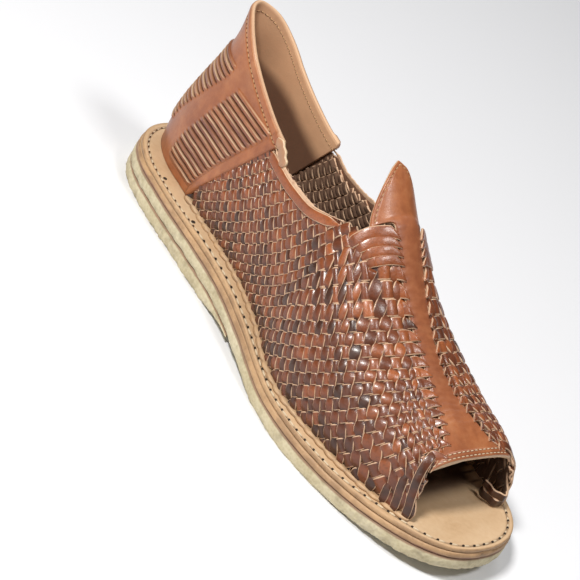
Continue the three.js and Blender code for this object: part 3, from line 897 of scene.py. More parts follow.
def edgeStrips(grid, body, rng):
    for row, top, slant in zip(*toeStrips.values()):
        share = np.linspace(0, top, 44)
        centre, across, normal = laneOn(grid, row + slant * share, share)
        low = 1 - ease(0.0, 0.08, share)
        half = 2.0 * (1 - 0.35 * low) * (1 - 0.35 * ease(top - 0.2, top, share))
        tone = 0.05 + 0.2 * ease(0.4, 1.0, share) + rng.normal(0, 0.05) + 0.05 * np.sin(share * 31)
        lift = 0.15 + 0.22 * np.sin(share * 22 + row) - 2.1 * ease(top - 0.16, top, share)
        centre = centre + np.array([0, 0, -1.2]) * (low ** 2)[:, None]
        # Painted shade where the strip dips towards the sole.
        strip(body, centre, across, normal, half, lift, tone, deep=low * 0.5, crown=0.2)
    count = 90
    place = np.arange(count)
    rows = np.linspace(30.9, 19.0, count)
    fray = np.convolve(rng.normal(0, 1, count + 2), np.ones(3) / 3, "valid")
    for share, above, half, lift, thickness, pale in zip(*edgeBands.values()):
        centre, across, normal = laneOn(grid, rows, share)
        ends = np.minimum(ease(0, 6, place), ease(0, 10, count - 1 - place))
        ends = ends * (1 - pale * ease(23.5, 21.5, rows))
        strip(body, centre + np.array([0, 0, above]), across, normal,
              (half + 0.35 * pale * fray) * (0.35 + 0.65 * ends),
              lift + 0.15 * np.sin(rows * 1.7) - 1.2 * (1 - ends), 0.80 + 0.1 * np.sin(rows),
              crown=0.2, thickness=thickness, pale=pale)
    for row, low, half, beyond in zip(*throatBands.values()):
        share = np.linspace(low, float(np.interp(row, grid["rows"], grid["ends"])), 60)
        centre, across, normal = laneOn(grid, row, share)
        across = softened(across)
        start = 1 - ease(low, low + 0.06, share)
        centre = centre + across * np.sign(across[:, 1:2]) * beyond
        # Painted shade where the band starts, tucked under the weave.
        strip(body, *tipped(centre, across, normal, half - 0.6 * start, 0.25 - 1.4 * start,
                            0.62 + 0.08 * np.sin(share * 20), 0.2 * start))


def tipped(centre, across, normal, half, lift, tone, deep, length=5.4, extra=2.6):
    # The last stretch narrows to a point that turns towards the toe and lies on the strap.
    along = lengthAlong(centre)
    keep = int((along < along[-1] - length + extra).sum())
    last = keep - 1
    t = np.linspace(0, 1, 9)[1:]
    tangent = unit(centre[-1] - centre[max(last - 1, 0)])
    towardToe = across[-1] * np.sign(-across[-1][1])
    path = centre[last] + tangent * length * t[:, None] * 0.92 + towardToe * half[last] * (
        0.5 * t + 0.7 * t * t)[:, None]
    outward = unit(mix(normal[last], normal[-1] * 0.75 + np.array([0, 0, 0.35]), t[:, None]))
    join = lambda values, tail: np.concatenate([values[:keep], tail])
    return (join(centre, path), join(across, np.repeat(across[last:keep], len(t), 0)), join(normal, outward),
            join(half, half[last] * (1 - 0.85 * t ** 1.5)),
            join(lift, mix(lift[last], 0.62, np.clip(t * 1.7, 0, 1))),
            join(tone, np.full(len(t), tone[last])), join(deep, np.zeros(len(t))))


def wrapStrip(body, centre, across, normal, half, lift, tone, deep, radius=1.25, tail=4.0):
    # The strip turns over the edge at its end and runs back on the inner side.
    last = centre[-1] + normal[-1] * lift[-1]
    along = unit(centre[-1] - centre[-3])
    turn = np.linspace(0, math.pi, 7)[1:, None]
    arc = last + radius * (np.sin(turn) * along - (1 - np.cos(turn)) * normal[-1])
    back = arc[-1] - along * np.linspace(0.5, tail, 4)[:, None]
    facing = np.cos(turn) * normal[-1] + np.sin(turn) * along
    more = len(arc) + len(back)
    extend = lambda values: np.concatenate([values, np.repeat(values[-1:], more, 0)])
    centre = np.concatenate([centre + normal * lift[:, None], arc, back])
    normal = unit(np.concatenate([normal, facing, np.repeat(facing[-1:], len(back), 0)]))
    strip(body, centre, extend(across), normal, extend(half), 0.0, extend(tone), deep=extend(deep))


# Counter and collar.
counter = {
    "columns": 200,
    "levels": 228,
    "slatLow": 4.2,
    "slatHigh": 57.5,
    "backLow": 13.08,
    "backHigh": 63.42,
    "seamDepth": 4.5,
    "bandWidth": 5.0,
    "straightSteps": 4,
    "roundSteps": 14,
    "lowLevels": 11,
    "slatLevels": 144,
    "wall": 2.6,
    "bandRelief": 0.9,
    "slats": 18,
    "slatRelief": 1.15,
    "backSlats": 17,
    "groove": 0.35,
}
bandBack = {
    "height": [4.5, 16.9, 26.8, 38.6, 49.8, 59.8],
    "fromToe": [225.4, 220.4, 216.1, 210.1, 204, 199.3],
}
panelBack = {
    "height": [6.4, 11.7, 20.6, 31.5, 41.8, 51.5, 56],
    "fromToe": [250, 249.6, 248, 243.9, 240.5, 236.7, 234.8],
}
backPanelFront = {
    "height": [15, 22.5, 33.7, 44.2, 55.1, 60.8],
    "fromToe": [264, 262.1, 256, 250.7, 244.8, 243.2],
}


def counterHeight(level, top):
    # Eight rows of the mesh to a slat, so that the slats' edges follow the rows.
    row = level * counter["levels"]
    start = counter["lowLevels"]
    end = start + counter["slatLevels"]
    below = np.interp(row, [0, start, end], [0, counter["slatLow"], counter["slatHigh"]])
    return np.where(row > end, mix(counter["slatHigh"], top, (row - end) / (counter["levels"] - end)), below)


def counterGrid():
    straight, turnCount = counter["straightSteps"], counter["roundSteps"]
    total = 2 * straight + 2 + turnCount
    place = np.linspace(0, total, counter["columns"] + 1)[None, :]
    level = np.linspace(0, 1, counter["levels"] + 1)[:, None]
    place, level = np.broadcast_arrays(place, level)
    fromLateral = place <= total / 2
    step = np.where(fromLateral, place, total - place)
    nearBorder = mix(borderFoot, tabPlace["fromToe"], level)
    border = borderAt(counterHeight(level, smooth(collarTopline, "height", nearBorder))) + seatGap
    across = np.minimum(step, 1) * counter["bandWidth"]
    share = np.clip((step - 1) / straight, 0, 1)
    sideToe = mix(border + across, np.maximum(heelCentre, border + across), share)
    sideHeight = counterHeight(level, smooth(collarTopline, "height", sideToe))
    start = np.maximum(heelCentre, border + counter["bandWidth"])
    turn = np.clip((step - straight - 1) / turnCount, 0, 1) * math.pi
    topAt = mix(start, collarTopline["fromToe"][-1], np.sin(turn))
    roundHeight = counterHeight(level, smooth(collarTopline, "height", topAt))
    roundToe = mix(start, smooth(heelWall, "back", roundHeight, "height"), np.sin(turn))
    isSide = step <= straight + 1
    fromToe = np.where(isSide, sideToe, roundToe)
    height = np.where(isSide, sideHeight, roundHeight)
    section = np.where(isSide, sideToe, start)
    base = [sideSign[side] * smooth(lastSections, side, section) for side in sideSign]
    x = np.where(fromLateral, *base) * smooth(heelWall, "lean", height, "height") * np.where(
        isSide, 1.0, np.cos(turn))
    points = np.stack([x, fromToe - shoeLength / 2, insoleTop(fromToe) + seatGap + height], -1)
    top = smooth(collarTopline, "height", np.where(isSide, sideToe, topAt))
    return points, fromToe, height, top


def gridNormals(points):
    normal = unit(np.cross(np.gradient(points, axis=1), np.gradient(points, axis=0)))
    centre = np.array([0, heelCentre - 20 - shoeLength / 2, 0])
    facing = ((points - centre) * normal * np.array([1, 1, 0])).sum(-1, keepdims=True)
    return normal * np.sign(np.median(facing))


def counterPiece(material):
    points, fromToe, height, top = counterGrid()
    normal = gridNormals(points)
    normal[0, :, 2] = 0
    normal = unit(normal)
    rng = np.random.default_rng(5)
    behind = fromToe - borderAt(height) - seatGap
    bandWidth = smooth(bandBack, "fromToe", height, "height") - borderAt(height) - seatGap
    band = ease(0, 1.1, behind) * (1 - ease(bandWidth - 1.2, bandWidth, behind))
    relief = counter["bandRelief"] * band

    def slats(count, bottom, top, within):
        place = (height - bottom) / (top - bottom) * count
        part = place - np.floor(place + 1e-6)
        number = np.clip(np.floor(place + 1e-6).astype(int), 0, count - 1)
        inside = ease(0, 0.4, place) * (1 - ease(count - 0.4, count, place)) * within
        ridge = np.interp(part, [0, 0.125, 0.25, 0.5, 0.75, 0.875, 1], [0, 0.5, 0.78, 0.92, 1, 0.4, 0])
        return inside, ridge, number, part

    sideEnd = fromToe - smooth(panelBack, "fromToe", height, "height")
    backStart = fromToe - smooth(backPanelFront, "fromToe", height, "height")
    side = slats(counter["slats"], counter["slatLow"], counter["slatHigh"],
                 ease(0.2, 2.2, behind - bandWidth) * (1 - ease(-2.0, 0.0, sideEnd)))
    back = slats(counter["backSlats"], counter["backLow"], counter["backHigh"], ease(0.0, 1.6, backStart))
    deep, tone, cut = np.zeros((3, *height.shape))
    for inside, ridge, number, part in (side, back):
        shade = np.clip(rng.normal(0.58, 0.30, 40), 0.1, 1)[number]
        relief += inside * (counter["slatRelief"] * ridge - counter["groove"] * (1 - ridge))
        # Painted shade in the grooves between the slats.
        deep += inside * np.clip(1.15 - ridge * 1.5, 0, 1)
        cloud = 0.7 + 0.3 * np.sin(fromToe * 0.21 + number)
        tone += inside * np.clip(ridge * 1.4 - 0.2, 0, 1) * shade * cloud
        cut += inside * np.interp(part, [0.625, 0.75, 0.875], [0, 1, 0.1]) * (part > 0.6) * (
            0.55 + 0.35 * np.sin(number * 2.3 + fromToe * 0.12))
    below = top - height
    edge = ease(0, 1.2, below)
    line = np.exp(-((below - counter["seamDepth"]) / 0.55) ** 2)
    relief += -0.35 * line - (1 - edge) * 0.55
    # Painted shade in the groove beside the band.
    deep += 0.35 * np.exp(-((behind - bandWidth - 0.2) / 0.5) ** 2) * (height < 60)
    outer = points + normal * relief[..., None]
    inner = points - normal * (counter["wall"] - 0.25 * (1 - edge))[..., None]
    rim = mix(outer[-1], inner[-1], 0.5) + np.array([0, 0, 0.35])
    grid = np.concatenate([outer, rim[None], inner[::-1]])
    index = np.arange(grid.shape[0] * grid.shape[1]).reshape(grid.shape[:2])
    foot = [index[0, :-1], index[0, 1:], index[-1, 1:], index[-1, :-1]]
    quads = gridFaces(index) + np.stack(foot, -1).tolist()
    levels = len(outer)
    for column in (index[:, 0], index[:, -1]):
        quads += [[column[i], column[i + 1], column[-2 - i], column[-1 - i]] for i in range(levels - 1)]
        quads.append(column[levels - 1:levels + 2].tolist())

    def stack(outside, rimValue, insideValue):
        inside = np.broadcast_to(insideValue, height.shape)[::-1]
        return np.concatenate([outside, np.full((1, height.shape[1]), rimValue), inside])

    edgePale = (1 - edge) * 0.3
    # Painted shadow of the near collar edge on the lining, with the heel's lining darker still.
    shadeFrom = mix(11.0, 20.0, ease(225, 262, fromToe))
    liningShade = np.maximum(ease(0.0, 9.0, below - shadeFrom) * 0.88, 0.35 * ease(238, 262, fromToe))
    body = Body()
    body.add(grid, quads, deep=stack(np.clip(deep, 0, 1), 0.0, liningShade),
             tone=stack(np.clip(tone, 0, 1), 0.0, 0.0),
             cut=stack(np.clip(cut + edgePale, 0, 1), 0.5, edgePale),
             flesh=stack(np.zeros(height.shape), 0.5, 1.0))
    return body.build("counter_and_collar", material), outer, inner, normal, below


# Strap and tongue.
strap = {
    "thickness": 1.8,
    "sink": 1.4,
    "hemLength": 4.0,
    "hemRelief": 0.7,
    "columns": 44,
    "tongueTip": 147,
    "tongueHalf": 18.6,
    "tongueDrop": 1.6,
    "tonguePower": 1.7,
    "seamInset": 2.4,
    "hemLines": (1.3, 3.0),
}


def strapPiece(material):
    body = Body()
    first, last = strapPlan["fromToe"][0], strapPlan["fromToe"][-1]
    base = throat["corner"] + seatGap
    places, halves, drops = [], [], []
    for fromToe in np.concatenate([np.linspace(first, first + 12, 40), np.linspace(first + 12.6, last, 130)]):
        places.append(fromToe)
        halves.append(float(strapHalfWidth(fromToe)))
        drops.append(0.0)
    for share in np.linspace(0.15, 0.85, 5):
        places.append(mix(last, base, share))
        halves.append(mix(strapPlan["halfWidth"][-1], strap["tongueHalf"], share ** 3))
        drops.append(strap["tongueDrop"] * share)
    for share in 1 - (1 - np.linspace(0, 1, 60)) ** 1.4:
        places.append(mix(base, strap["tongueTip"], share))
        halves.append(max(strap["tongueHalf"] * (1 - share ** strap["tonguePower"]), 0.05))
        drops.append(strap["tongueDrop"])
    places, halves, drops = (np.array(values)[:, None] for values in (places, halves, drops))
    share = np.sin(np.linspace(-0.5, 0.5, strap["columns"] + 1) * math.pi)[None, :]
    offset = halves * share
    full = lambda values: np.broadcast_to(values, offset.shape)
    sides = [lastPoint(side, full(places), angleAtWidth(side, places, np.abs(offset)))
             for side in ("lateral", "medial")]
    points = np.where((offset < 0)[..., None], sides[0], sides[1])
    points[..., 0] = offset
    normal = unit(np.cross(np.gradient(points, axis=1), np.gradient(points, axis=0)))
    normal *= np.sign(normal[..., 2:3])
    fromEdge = halves - np.abs(offset)
    onTongue = ease(base - 2, base + 1, places)
    hemEdge = places - first
    hem = (1 - ease(strap["hemLength"] - 0.8, strap["hemLength"], hemEdge)) * strap["hemRelief"]
    roundEdge = np.minimum(ease(0, 0.9, fromEdge), ease(-0.2, 0.8, hemEdge))
    crease = 0.15 * np.sin(places * 2.1 + 1.4 * np.sin(offset * 0.5)) * np.exp(-((places - 80) / 26) ** 2)
    crown = 0.5 * (1 - share ** 2) * (1 - onTongue)
    seam = np.exp(-((fromEdge - strap["seamInset"]) / 0.4) ** 2) * onTongue
    hemSeams = sum(np.exp(-((hemEdge - line) / 0.3) ** 2) for line in strap["hemLines"])
    top = strap["thickness"] - strap["sink"] + hem - drops + crown + crease * (1 - onTongue) - 0.3 * seam
    top = top - 0.22 * hemSeams - (1 - roundEdge) * 0.7
    bottom = -strap["sink"] - drops + (1 - roundEdge) * 0.25
    outer = points + normal * full(top)[..., None]
    inner = points + normal * full(bottom)[..., None]
    pale = full(np.maximum((1 - ease(0.0, 0.35, fromEdge)) * 0.7, (1 - ease(0.0, 0.4, hemEdge)) * 0.8))
    # Painted shade along the stitch grooves.
    slot = np.clip(0.35 * seam + 0.45 * hemSeams, 0, 1)
    shade = (0.25 * np.exp(-(fromEdge / 2.2) ** 2) + 0.30 * ease(46, 62, places)) * (1 - onTongue)
    around = lambda outside, inside: np.concatenate([full(outside), full(inside)], 1)
    body.tube(np.concatenate([outer, inner[:, ::-1]], 1), cut=np.concatenate([pale, pale], 1),
              flesh=around(0.0, 1.0), deep=around(slot, 0.0), tone=around(shade, 0.0))
    return body.build("strap_and_pointed_tongue", material), outer, normal, fromEdge, hemEdge


# Stitches, nails and holes: one small body set along a line at an even spacing.
stitchNodes = {
    "start": "NodeGroupInput",
    "curve": "GeometryNodeMeshToCurve",
    "resample": "GeometryNodeResampleCurve",
    "tangent": "GeometryNodeInputTangent",
    "turn": "FunctionNodeAlignRotationToVector",
    "ball": "GeometryNodeMeshIcoSphere",
    "size": "ShaderNodeCombineXYZ",
    "chance": "FunctionNodeRandomValue",
    "spread": "ShaderNodeVectorMath",
    "euler": "FunctionNodeEulerToRotation",
    "rotate": "FunctionNodeRotateRotation",
    "place": "GeometryNodeInstanceOnPoints",
    "realize": "GeometryNodeRealizeInstances",
    "shade": "GeometryNodeSetShadeSmooth",
    "paint": "GeometryNodeSetMaterial",
    "end": "NodeGroupOutput",
}
stitchSettings = {
    "resample": {"mode": "LENGTH"},
    "turn": {"axis": "X"},
    "chance": {"data_type": "FLOAT_VECTOR"},
    "spread": {"operation": "SCALE"},
}
stitchInputs = {
    "ball": {"Radius": 0.5, "Subdivisions": 2},
    "chance": {"Min": (-0.6, -0.6, -0.6), "Max": (0.6, 0.6, 0.6), "Seed": 7},
}
stitchLinks = [
    ("start", "Geometry", "curve", "Mesh"),
    ("curve", "Curve", "resample", "Curve"),
    ("start", "Spacing", "resample", "Length"),
    ("tangent", "Tangent", "turn", "Vector"),
    ("start", "Length", "size", "X"),
    ("start", "Thickness", "size", "Y"),
    ("start", "Thickness", "size", "Z"),
    ("chance", "Value", "spread", 0),
    ("start", "Jitter", "spread", "Scale"),
    ("spread", 0, "euler", 0),
    ("turn", "Rotation", "rotate", "Rotation"),
    ("euler", 0, "rotate", "Rotate By"),
    ("resample", "Curve", "place", "Points"),
    ("ball", "Mesh", "place", "Instance"),
    ("rotate", 0, "place", "Rotation"),
    ("size", 0, "place", "Scale"),
    ("place", "Instances", "realize", "Geometry"),
    ("realize", "Geometry", "shade", "Geometry"),
    ("shade", "Geometry", "paint", "Geometry"),
    ("paint", "Geometry", "end", "Geometry"),
]


def stitchTree(material):
    tree = bpy.data.node_groups.new("evenly_set_" + material.name, "GeometryNodeTree")
    tree.interface.new_socket("Geometry", in_out="INPUT", socket_type="NodeSocketGeometry")
    for name in ("Spacing", "Length", "Thickness", "Jitter"):
        tree.interface.new_socket(name, in_out="INPUT", socket_type="NodeSocketFloat")
    tree.interface.new_socket("Geometry", in_out="OUTPUT", socket_type="NodeSocketGeometry")
    nodes = {name: tree.nodes.new(kind) for name, kind in stitchNodes.items()}
    for name, settings in stitchSettings.items():
        for key, value in settings.items():
            setattr(nodes[name], key, value)
    for name, inputs in stitchInputs.items():
        for key, value in inputs.items():
            nodes[name].inputs[key].default_value = value
    nodes["paint"].inputs["Material"].default_value = material
    for source, output, target, slot in stitchLinks:
        tree.links.new(nodes[source].outputs[output], nodes[target].inputs[slot])
    return tree


def setAlong(name, lines, tree, spacing, length, thickness, jitter=0.15):
    mesh = bpy.data.meshes.new(name + "_path")
    points, edges, count = [], [], 0
    for line in lines:
        line = np.asarray(line) + (sideShift, 0, 0)
        points.extend((line * mm).tolist())
        edges.extend((count + i, count + i + 1) for i in range(len(line) - 1))
        count += len(line)
    mesh.from_pydata(points, edges, [])
    guide = newObject(name + "_path", mesh)
    modifier = guide.modifiers.new("set", "NODES")
    modifier.node_group = tree
    sizes = {"Spacing": spacing * mm, "Length": length * mm, "Thickness": thickness * mm, "Jitter": jitter}
    for item in tree.interface.items_tree:
        if item.in_out == "INPUT" and item.name in sizes:
            modifier[item.identifier] = sizes[item.name]
    bpy.context.view_layer.update()
    seen = guide.evaluated_get(bpy.context.evaluated_depsgraph_get())
    result = bpy.data.meshes.new_from_object(seen)
    result.name = name
    guide.modifiers.remove(modifier)
    bpy.data.objects.remove(guide)
    bpy.data.meshes.remove(mesh)
    return newObject(name, result)


# The camera stands where the photograph's did, rolled as it was.
camera = {
    "azimuth": -52.8,
    "elevation": 31.4,
    "roll": 32.2,
    "left": 2.7,
    "up": 26.4,
    "distance": 853.7,
    "focal": 1836.0,
    "image": 580,
    "sensor": 36.0,
}


def cameraAxes():
    a, e, r = (math.radians(camera[key]) for key in ("azimuth", "elevation", "roll"))
    back = Vector((math.sin(a) * math.cos(e), -math.cos(a) * math.cos(e), math.sin(e)))
    right = (-back).cross(Vector((0, 0, 1))).normalized()
    up = right.cross(-back)
    return (math.cos(r) * right + math.sin(r) * up, -math.sin(r) * right + math.cos(r) * up, back)


def makeCamera():
    right, up, back = cameraAxes()
    place = -camera["left"] * right + camera["up"] * up + camera["distance"] * back
    data = bpy.data.cameras.new("camera")
    data.sensor_width = camera["sensor"]
    data.lens = camera["focal"] / camera["image"] * camera["sensor"]
    data.clip_start = 0.01
    view = newObject("camera", data)
    turned = Matrix((right, up, back)).transposed().to_4x4()
    view.matrix_world = Matrix.Translation((place + Vector((sideShift, 0, 0))) * mm) @ turned
    bpy.context.scene.camera = view


def makeLight(name, place, size, power, colour):
    place, target = Vector(place), Vector((0, 0, 0.04))
    data = bpy.data.lights.new(name, "AREA")
    data.shape = "DISK"
    data.size = size
    data.energy = power
    data.color = colour
    turned = (place - target).to_track_quat("Z", "Y").to_matrix().to_4x4()
    newObject(name, data).matrix_world = Matrix.Translation(place) @ turned


studio = {
    "key": {"place": (-0.62, 0.06, 0.98), "size": 0.24, "power": 12.8, "colour": (1.0, 0.98, 0.95)},
    "front": {"place": (0.12, -0.50, 1.15), "size": 0.30, "power": 5.8, "colour": (1.0, 0.99, 0.97)},
    "fill": {"place": (-1.15, -0.15, 0.42), "size": 0.7, "power": 1.7, "colour": (1.0, 0.98, 0.96)},
    "back": {"place": (0.65, 0.55, 0.8), "size": 0.5, "power": 2.2, "colour": (1.0, 1.0, 1.0)},
    "world": 0.075,
}


def makeStudio():
    for name in ("key", "front", "fill", "back"):
        makeLight(name, **studio[name])
    bpy.context.scene.view_settings.view_transform = "Standard"
    world = bpy.data.worlds.new("studio")
    world.use_nodes = True
    world.node_tree.nodes["Background"].inputs["Color"].default_value = (1.0, 0.985, 0.96, 1)
    world.node_tree.nodes["Background"].inputs["Strength"].default_value = studio["world"]
    bpy.context.scene.world = world
    mesh = bpy.data.meshes.new("floor")
    mesh.from_pydata([(-3, -3, 0), (3, -3, 0), (3, 3, 0), (-3, 3, 0)], [], [(0, 1, 2, 3)])
    floor = newObject("floor", mesh)
    finish = Finish("floor_paper", roughness=0.7)
    finish.set("Base Color", (0.80, 0.81, 0.84, 1))
    mesh.materials.append(finish.material)


makeCamera()
makeStudio()
print("camera and studio")

natural = naturalFinish()
crepe = crepeFinish()
liftHigh = lambda at: soleBottom(at) - seatGap
liftLow = lambda at: mix(liftHigh(at) - liftFront["step"], 0, ease(liftFront["edge"], liftFront["full"], at))
handIn(crepeLayer("crepe_heel_lift", liftLow, liftHigh, 11, crepe, liftFront["edge"]), "crepe", "heel_lift")
outsoleHigh = lambda at: soleBottom(at) + outsoleThickness - seatGap
handIn(crepeLayer("crepe_outsole", soleBottom, outsoleHigh, 23, crepe), "crepe", "outsole")
handIn(midsolePiece(natural), "natural_leather", "midsole")
handIn(insolePiece(natural), "natural_leather", "insole")
print("sole")

strips = stripFinish()
rng = np.random.default_rng(12)
sides = {side: sideGrid(side) for side in ("lateral", "medial")}
for side, grid in sides.items():
    for kind, other in ((risingStrips, runningStrips), (runningStrips, risingStrips)):
        woven = Body()
        weaveStrips(side, grid, woven, rng, kind, other)
        rising = kind is risingStrips
        if rising:
            edgeStrips(grid, woven, rng)
        piece = woven.build(("rising_strips_" if rising else "running_strips_") + side, strips)
        handIn(piece, "woven_leather", *(["woven_upper"] if rising and side == "lateral" else []))
        print(piece.name, sum(len(face.vertices) - 2 for face in piece.data.polygons))
print("weave")

smoothLeather = smoothFinish()
counterObject, counterOuter, counterInner, counterNormal, counterBelow = counterPiece(smoothLeather)
handIn(counterObject, "smooth_leather", "heel_counter")
print("counter")

strapObject, strapOuter, strapNormal, strapFromEdge, strapFromHem = strapPiece(smoothLeather)
handIn(strapObject, "smooth_leather", "strap_and_tongue")
print("strap")

smallLooks = {
    "tan_thread": {"colour": (0.52, 0.32, 0.16), "roughness": 0.7},
    "pale_thread": {"colour": (0.72, 0.58, 0.40), "roughness": 0.7},
    # The dark and brown balls set in the stitch holes paint the shade inside the holes; the dark one also
    # colours the nail heads.
    "nail_heads_and_hole_shade": {"colour": (0.028, 0.015, 0.009), "roughness": 0.9},
    "hole_shade": {"colour": (0.11, 0.048, 0.024), "roughness": 0.9},
}
looks = {name: plainFinish(name, **look) for name, look in smallLooks.items()}
threadTree, paleTree, darkTree, brownTree = (stitchTree(look) for look in looks.values())
seams = {"holePitch": 5.9, "heelFrom": 200, "heelPitch": 4.4}


def weltLines():
    loop = outlineSides(0.0)
    at = loop[:, 1]
    inset = smooth(stitchInset, "inset", at)
    welt = outlineSides(inset)
    line = np.stack([welt[:, 0], welt[:, 1] - shoeLength / 2, insoleTop(welt[:, 1])], -1)
    front = np.flatnonzero(at < seams["heelFrom"])
    half = len(line) // 2
    lateral, medial = front[front < half][::-1], front[front >= half][::-1]
    heel = np.arange(front[front < half][-1], front[front >= half][0] + 1)
    return np.concatenate([line[lateral], line[medial]]), line[heel]


def shifted(line, distance):
    length = lengthAlong(line)
    return pointsAt(np.arange(distance, length[-1], 0.5), length, line)


frontLine, heelLine = weltLines()
pitch = seams["holePitch"]
# Dark balls paint the shade inside the welt's stitch holes.
handIn(setAlong("welt_holes", [frontLine], darkTree, pitch, 1.35, 1.1, 0.3), "natural_leather")
threadLine = shifted(frontLine, pitch / 2) + (0, 0, -0.15)
handIn(setAlong("welt_thread", [threadLine], paleTree, pitch, 4.0, 0.95, 0.08), "natural_leather")
pitch = seams["heelPitch"]
# Brown balls paint the shade inside the heel's stitch holes.
handIn(setAlong("heel_holes", [heelLine], brownTree, pitch, 0.95, 0.8, 0.3), "natural_leather")
threadLine = shifted(heelLine, pitch / 2) + (0, 0, -0.2)
handIn(setAlong("heel_thread", [threadLine], paleTree, pitch, 3.0, 0.8, 0.1), "natural_leather")


def nails():
    places = {"fromToe": [236.6, 205.6, 258], "side": [-29.7, -31.7, 26.5], "radius": [1.05, 1.1, 0.9]}
    turn = np.linspace(0, 2 * math.pi, 16, endpoint=False)
    body = Body()
    for at, x, radius in zip(*places.values()):
        plan = np.stack([x + radius * np.cos(turn), at - shoeLength / 2 + radius * np.sin(turn)], -1)
        body.tube(np.stack([np.insert(plan, 2, insoleTop(at) + height, 1) for height in (-0.5, 0.12)]))
    return body.build("heel_nails", looks["nail_heads_and_hole_shade"], flat=True)


handIn(nails(), "natural_leather")


# A lip's section from its inner side out. The hump between two holes moves the outer edge and lifts it.
lipSection = {
    "inner": [-1.3, -1.3, 0, 0, 0],
    "outer": [0, 0, 0.55, 1, 0.96],
    "height": [0.1, 1.5, 0.85, 0.35, 0.05],
    "hump": [0, 0, 0.45, 0.4, 0],
    "cut": [0, 0, 0.2, 1.0, 0.8],
}


def weltLip(side, grid):
    # The scalloped leather edge that stands out under the strips, one hump for each hole.
    row = np.linspace(0.0, weave["lastRow"], weave["lastRow"] * 12)
    foot = onSide(grid, "points", row, 0.0)
    along = unit(np.gradient(foot, axis=0))
    plan = [np.abs(along[:, 1]), -along[:, 0] * np.sign(along[:, 1]), np.zeros(len(row))]
    outward = unit(np.stack(plan, -1)) * sideSign[side]
    hump = np.abs(np.sin(math.pi * row)) ** 0.7
    reach = 1.2 + 1.0 * hump + 0.15 * np.sin(row * 2.3) + 0.1 * np.sin(row * 5.1 + 1)
    up = np.array([0, 0, 1.0])
    base = foot * (1, 1, 0) + up * insoleTop(foot[:, 1] + shoeLength / 2)[:, None]
    rings = []
    for inner, outer, height, rise in zip(*(lipSection[key] for key in ("inner", "outer", "height", "hump"))):
        rings.append(base + outward * (inner + outer * reach)[:, None] + up * (height + rise * hump)[:, None])
    body = Body()
    # Painted shade between the lip's humps.
    body.tube(np.stack(rings, 1), cut=lipSection["cut"], deep=(0.25 * (1 - hump))[:, None], glue=0.0)
    return body.build("welt_lip_" + side, natural)


for side, grid in sides.items():
    handIn(weltLip(side, grid), "natural_leather")


tabWay = {
    "fromToe": [197, 194.8, 192.4, 189.8, 187.3, 185, 183],
    "height": [57.2, 58.6, 58.8, 57.6, 56.0, 54.4, 53.0],
}


def collarTab():
    # The top of the band bends forward along the edge of the weave.
    t = np.linspace(0, 6, 40)
    at, height = (np.convolve(np.pad(np.interp(t, range(7), values), 3, "edge"), np.ones(7) / 7, "valid")
                  for values in tabWay.values())
    angle = angleAtHeight("lateral", at, height)
    centre = lastPoint("lateral", at, angle)
    over = lastPoint("lateral", at + 0.5, angle) - lastPoint("lateral", at - 0.5, angle)
    rise = lastPoint("lateral", at, angle + 0.01) - lastPoint("lateral", at, angle - 0.01)
    normal = unit(np.cross(over, rise))
    normal *= np.sign(normal[:, :1] * sideSign["lateral"])
    across = acrossOf(centre, normal)
    end = np.clip((t - 5.2) / 0.8, 0, 1)
    start = 1 - ease(0.0, 1.2, t)
    half = 2.5 * np.sqrt(np.clip(1 - end ** 2, 0.02, 1)) * (0.9 + 0.12 * np.sin(t * 4)) - 1.3 * start
    lift = 0.8 - 0.3 * end - 1.6 * start
    body = Body()
    strip(body, centre, across, normal, half, lift, 0.0, crown=0.5, thickness=1.3, pale=0.3)
    return body.build("collar_tab_lateral", smoothLeather)


handIn(collarTab(), "smooth_leather")


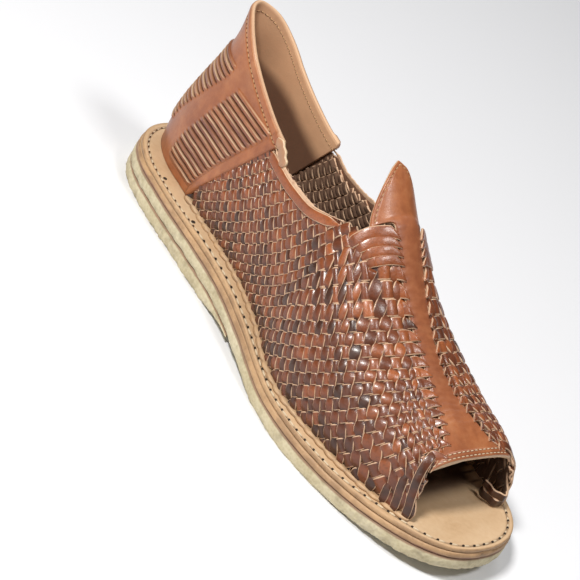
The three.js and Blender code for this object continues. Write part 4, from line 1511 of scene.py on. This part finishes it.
def toeCurl():
    # At the far side of the toe opening the corner of the weave curls in over the insole.
    start = onSide(sides["medial"], "points", [0.0], [0.0])[0]
    turn = np.linspace(0, 1, 26)
    angle = turn * 3.9
    plan = np.stack([start[0] - 1.2 - 5.2 * np.sin(angle * 0.5) * 1.25,
                     start[1] + 0.5 + 3.8 * (1 - np.cos(angle * 0.8)) - 2.5 * np.sin(angle * 0.9),
                     np.zeros(len(turn))], -1)
    across = np.repeat([[0.0, 0.0, 1.0]], len(turn), 0)
    normal = unit(np.cross(across, np.gradient(plan, axis=0)))
    body = Body()
    for number, height in enumerate((2.6, 6.6)):
        centre = plan + np.array([0, 0, start[2] - 0.4 + height])
        wave = 0.45 * np.cos(turn * 16 + number * math.pi)
        # Painted shade over the whole curl.
        strip(body, centre, across, normal, 2.1 - 0.5 * turn * number, wave, 0.04, deep=0.3, thickness=1.1)
    return body.build("curled_toe_corner", strips)


handIn(toeCurl(), "woven_leather")


def atBelow(surface, lift):
    line = []
    for column in range(1, surface.shape[1] - 1):
        order = np.argsort(counterBelow[:, column])
        below = counterBelow[order, column]
        places, normals = surface[order, column], counterNormal[order, column]
        line.append([np.interp(counter["seamDepth"], below, places[:, k])
                     + lift * np.interp(counter["seamDepth"], below, normals[:, k]) for k in range(3)])
    return np.array(line)


outerSeam = atBelow(counterOuter, 0.05)
innerSeam = atBelow(counterInner, -0.05)
handIn(setAlong("collar_thread", [outerSeam, innerSeam], threadTree, 2.6, 1.9, 0.6), "smooth_leather")
holeLines = [shifted(line, 1.3) for line in (outerSeam, innerSeam)]
# Brown balls paint the shade inside the collar's stitch holes.
handIn(setAlong("collar_holes", holeLines, brownTree, 2.6, 0.7, 0.55), "smooth_leather")


def strapSeams():
    rows = np.flatnonzero(strapFromHem[:, 0] > throat["corner"] + 1.5 - strapPlan["fromToe"][0])
    middle = strap["columns"] // 2
    edges = []
    for columns in (np.arange(middle + 1), np.arange(strap["columns"], middle - 1, -1)):
        line = []
        for row in rows:
            inside = strapFromEdge[row, columns]
            if inside.max() > 2.6:
                line.append(pointsAt(strap["seamInset"], inside, strapOuter[row, columns]))
        edges.append(np.array(line))
    hems = []
    for line in strap["hemLines"]:
        row = int(np.argmin(np.abs(strapFromHem[:, 0] - line)))
        hems.append(strapOuter[row, 2:-2] + strapNormal[row, 2:-2] * 0.05)
    return edges, hems


tongueEdges, hemLines = strapSeams()
handIn(setAlong("tongue_thread", tongueEdges, threadTree, 2.4, 1.6, 0.5), "smooth_leather")
handIn(setAlong("hem_thread", hemLines, paleTree, 2.5, 1.8, 0.5), "smooth_leather")
print("small pieces")
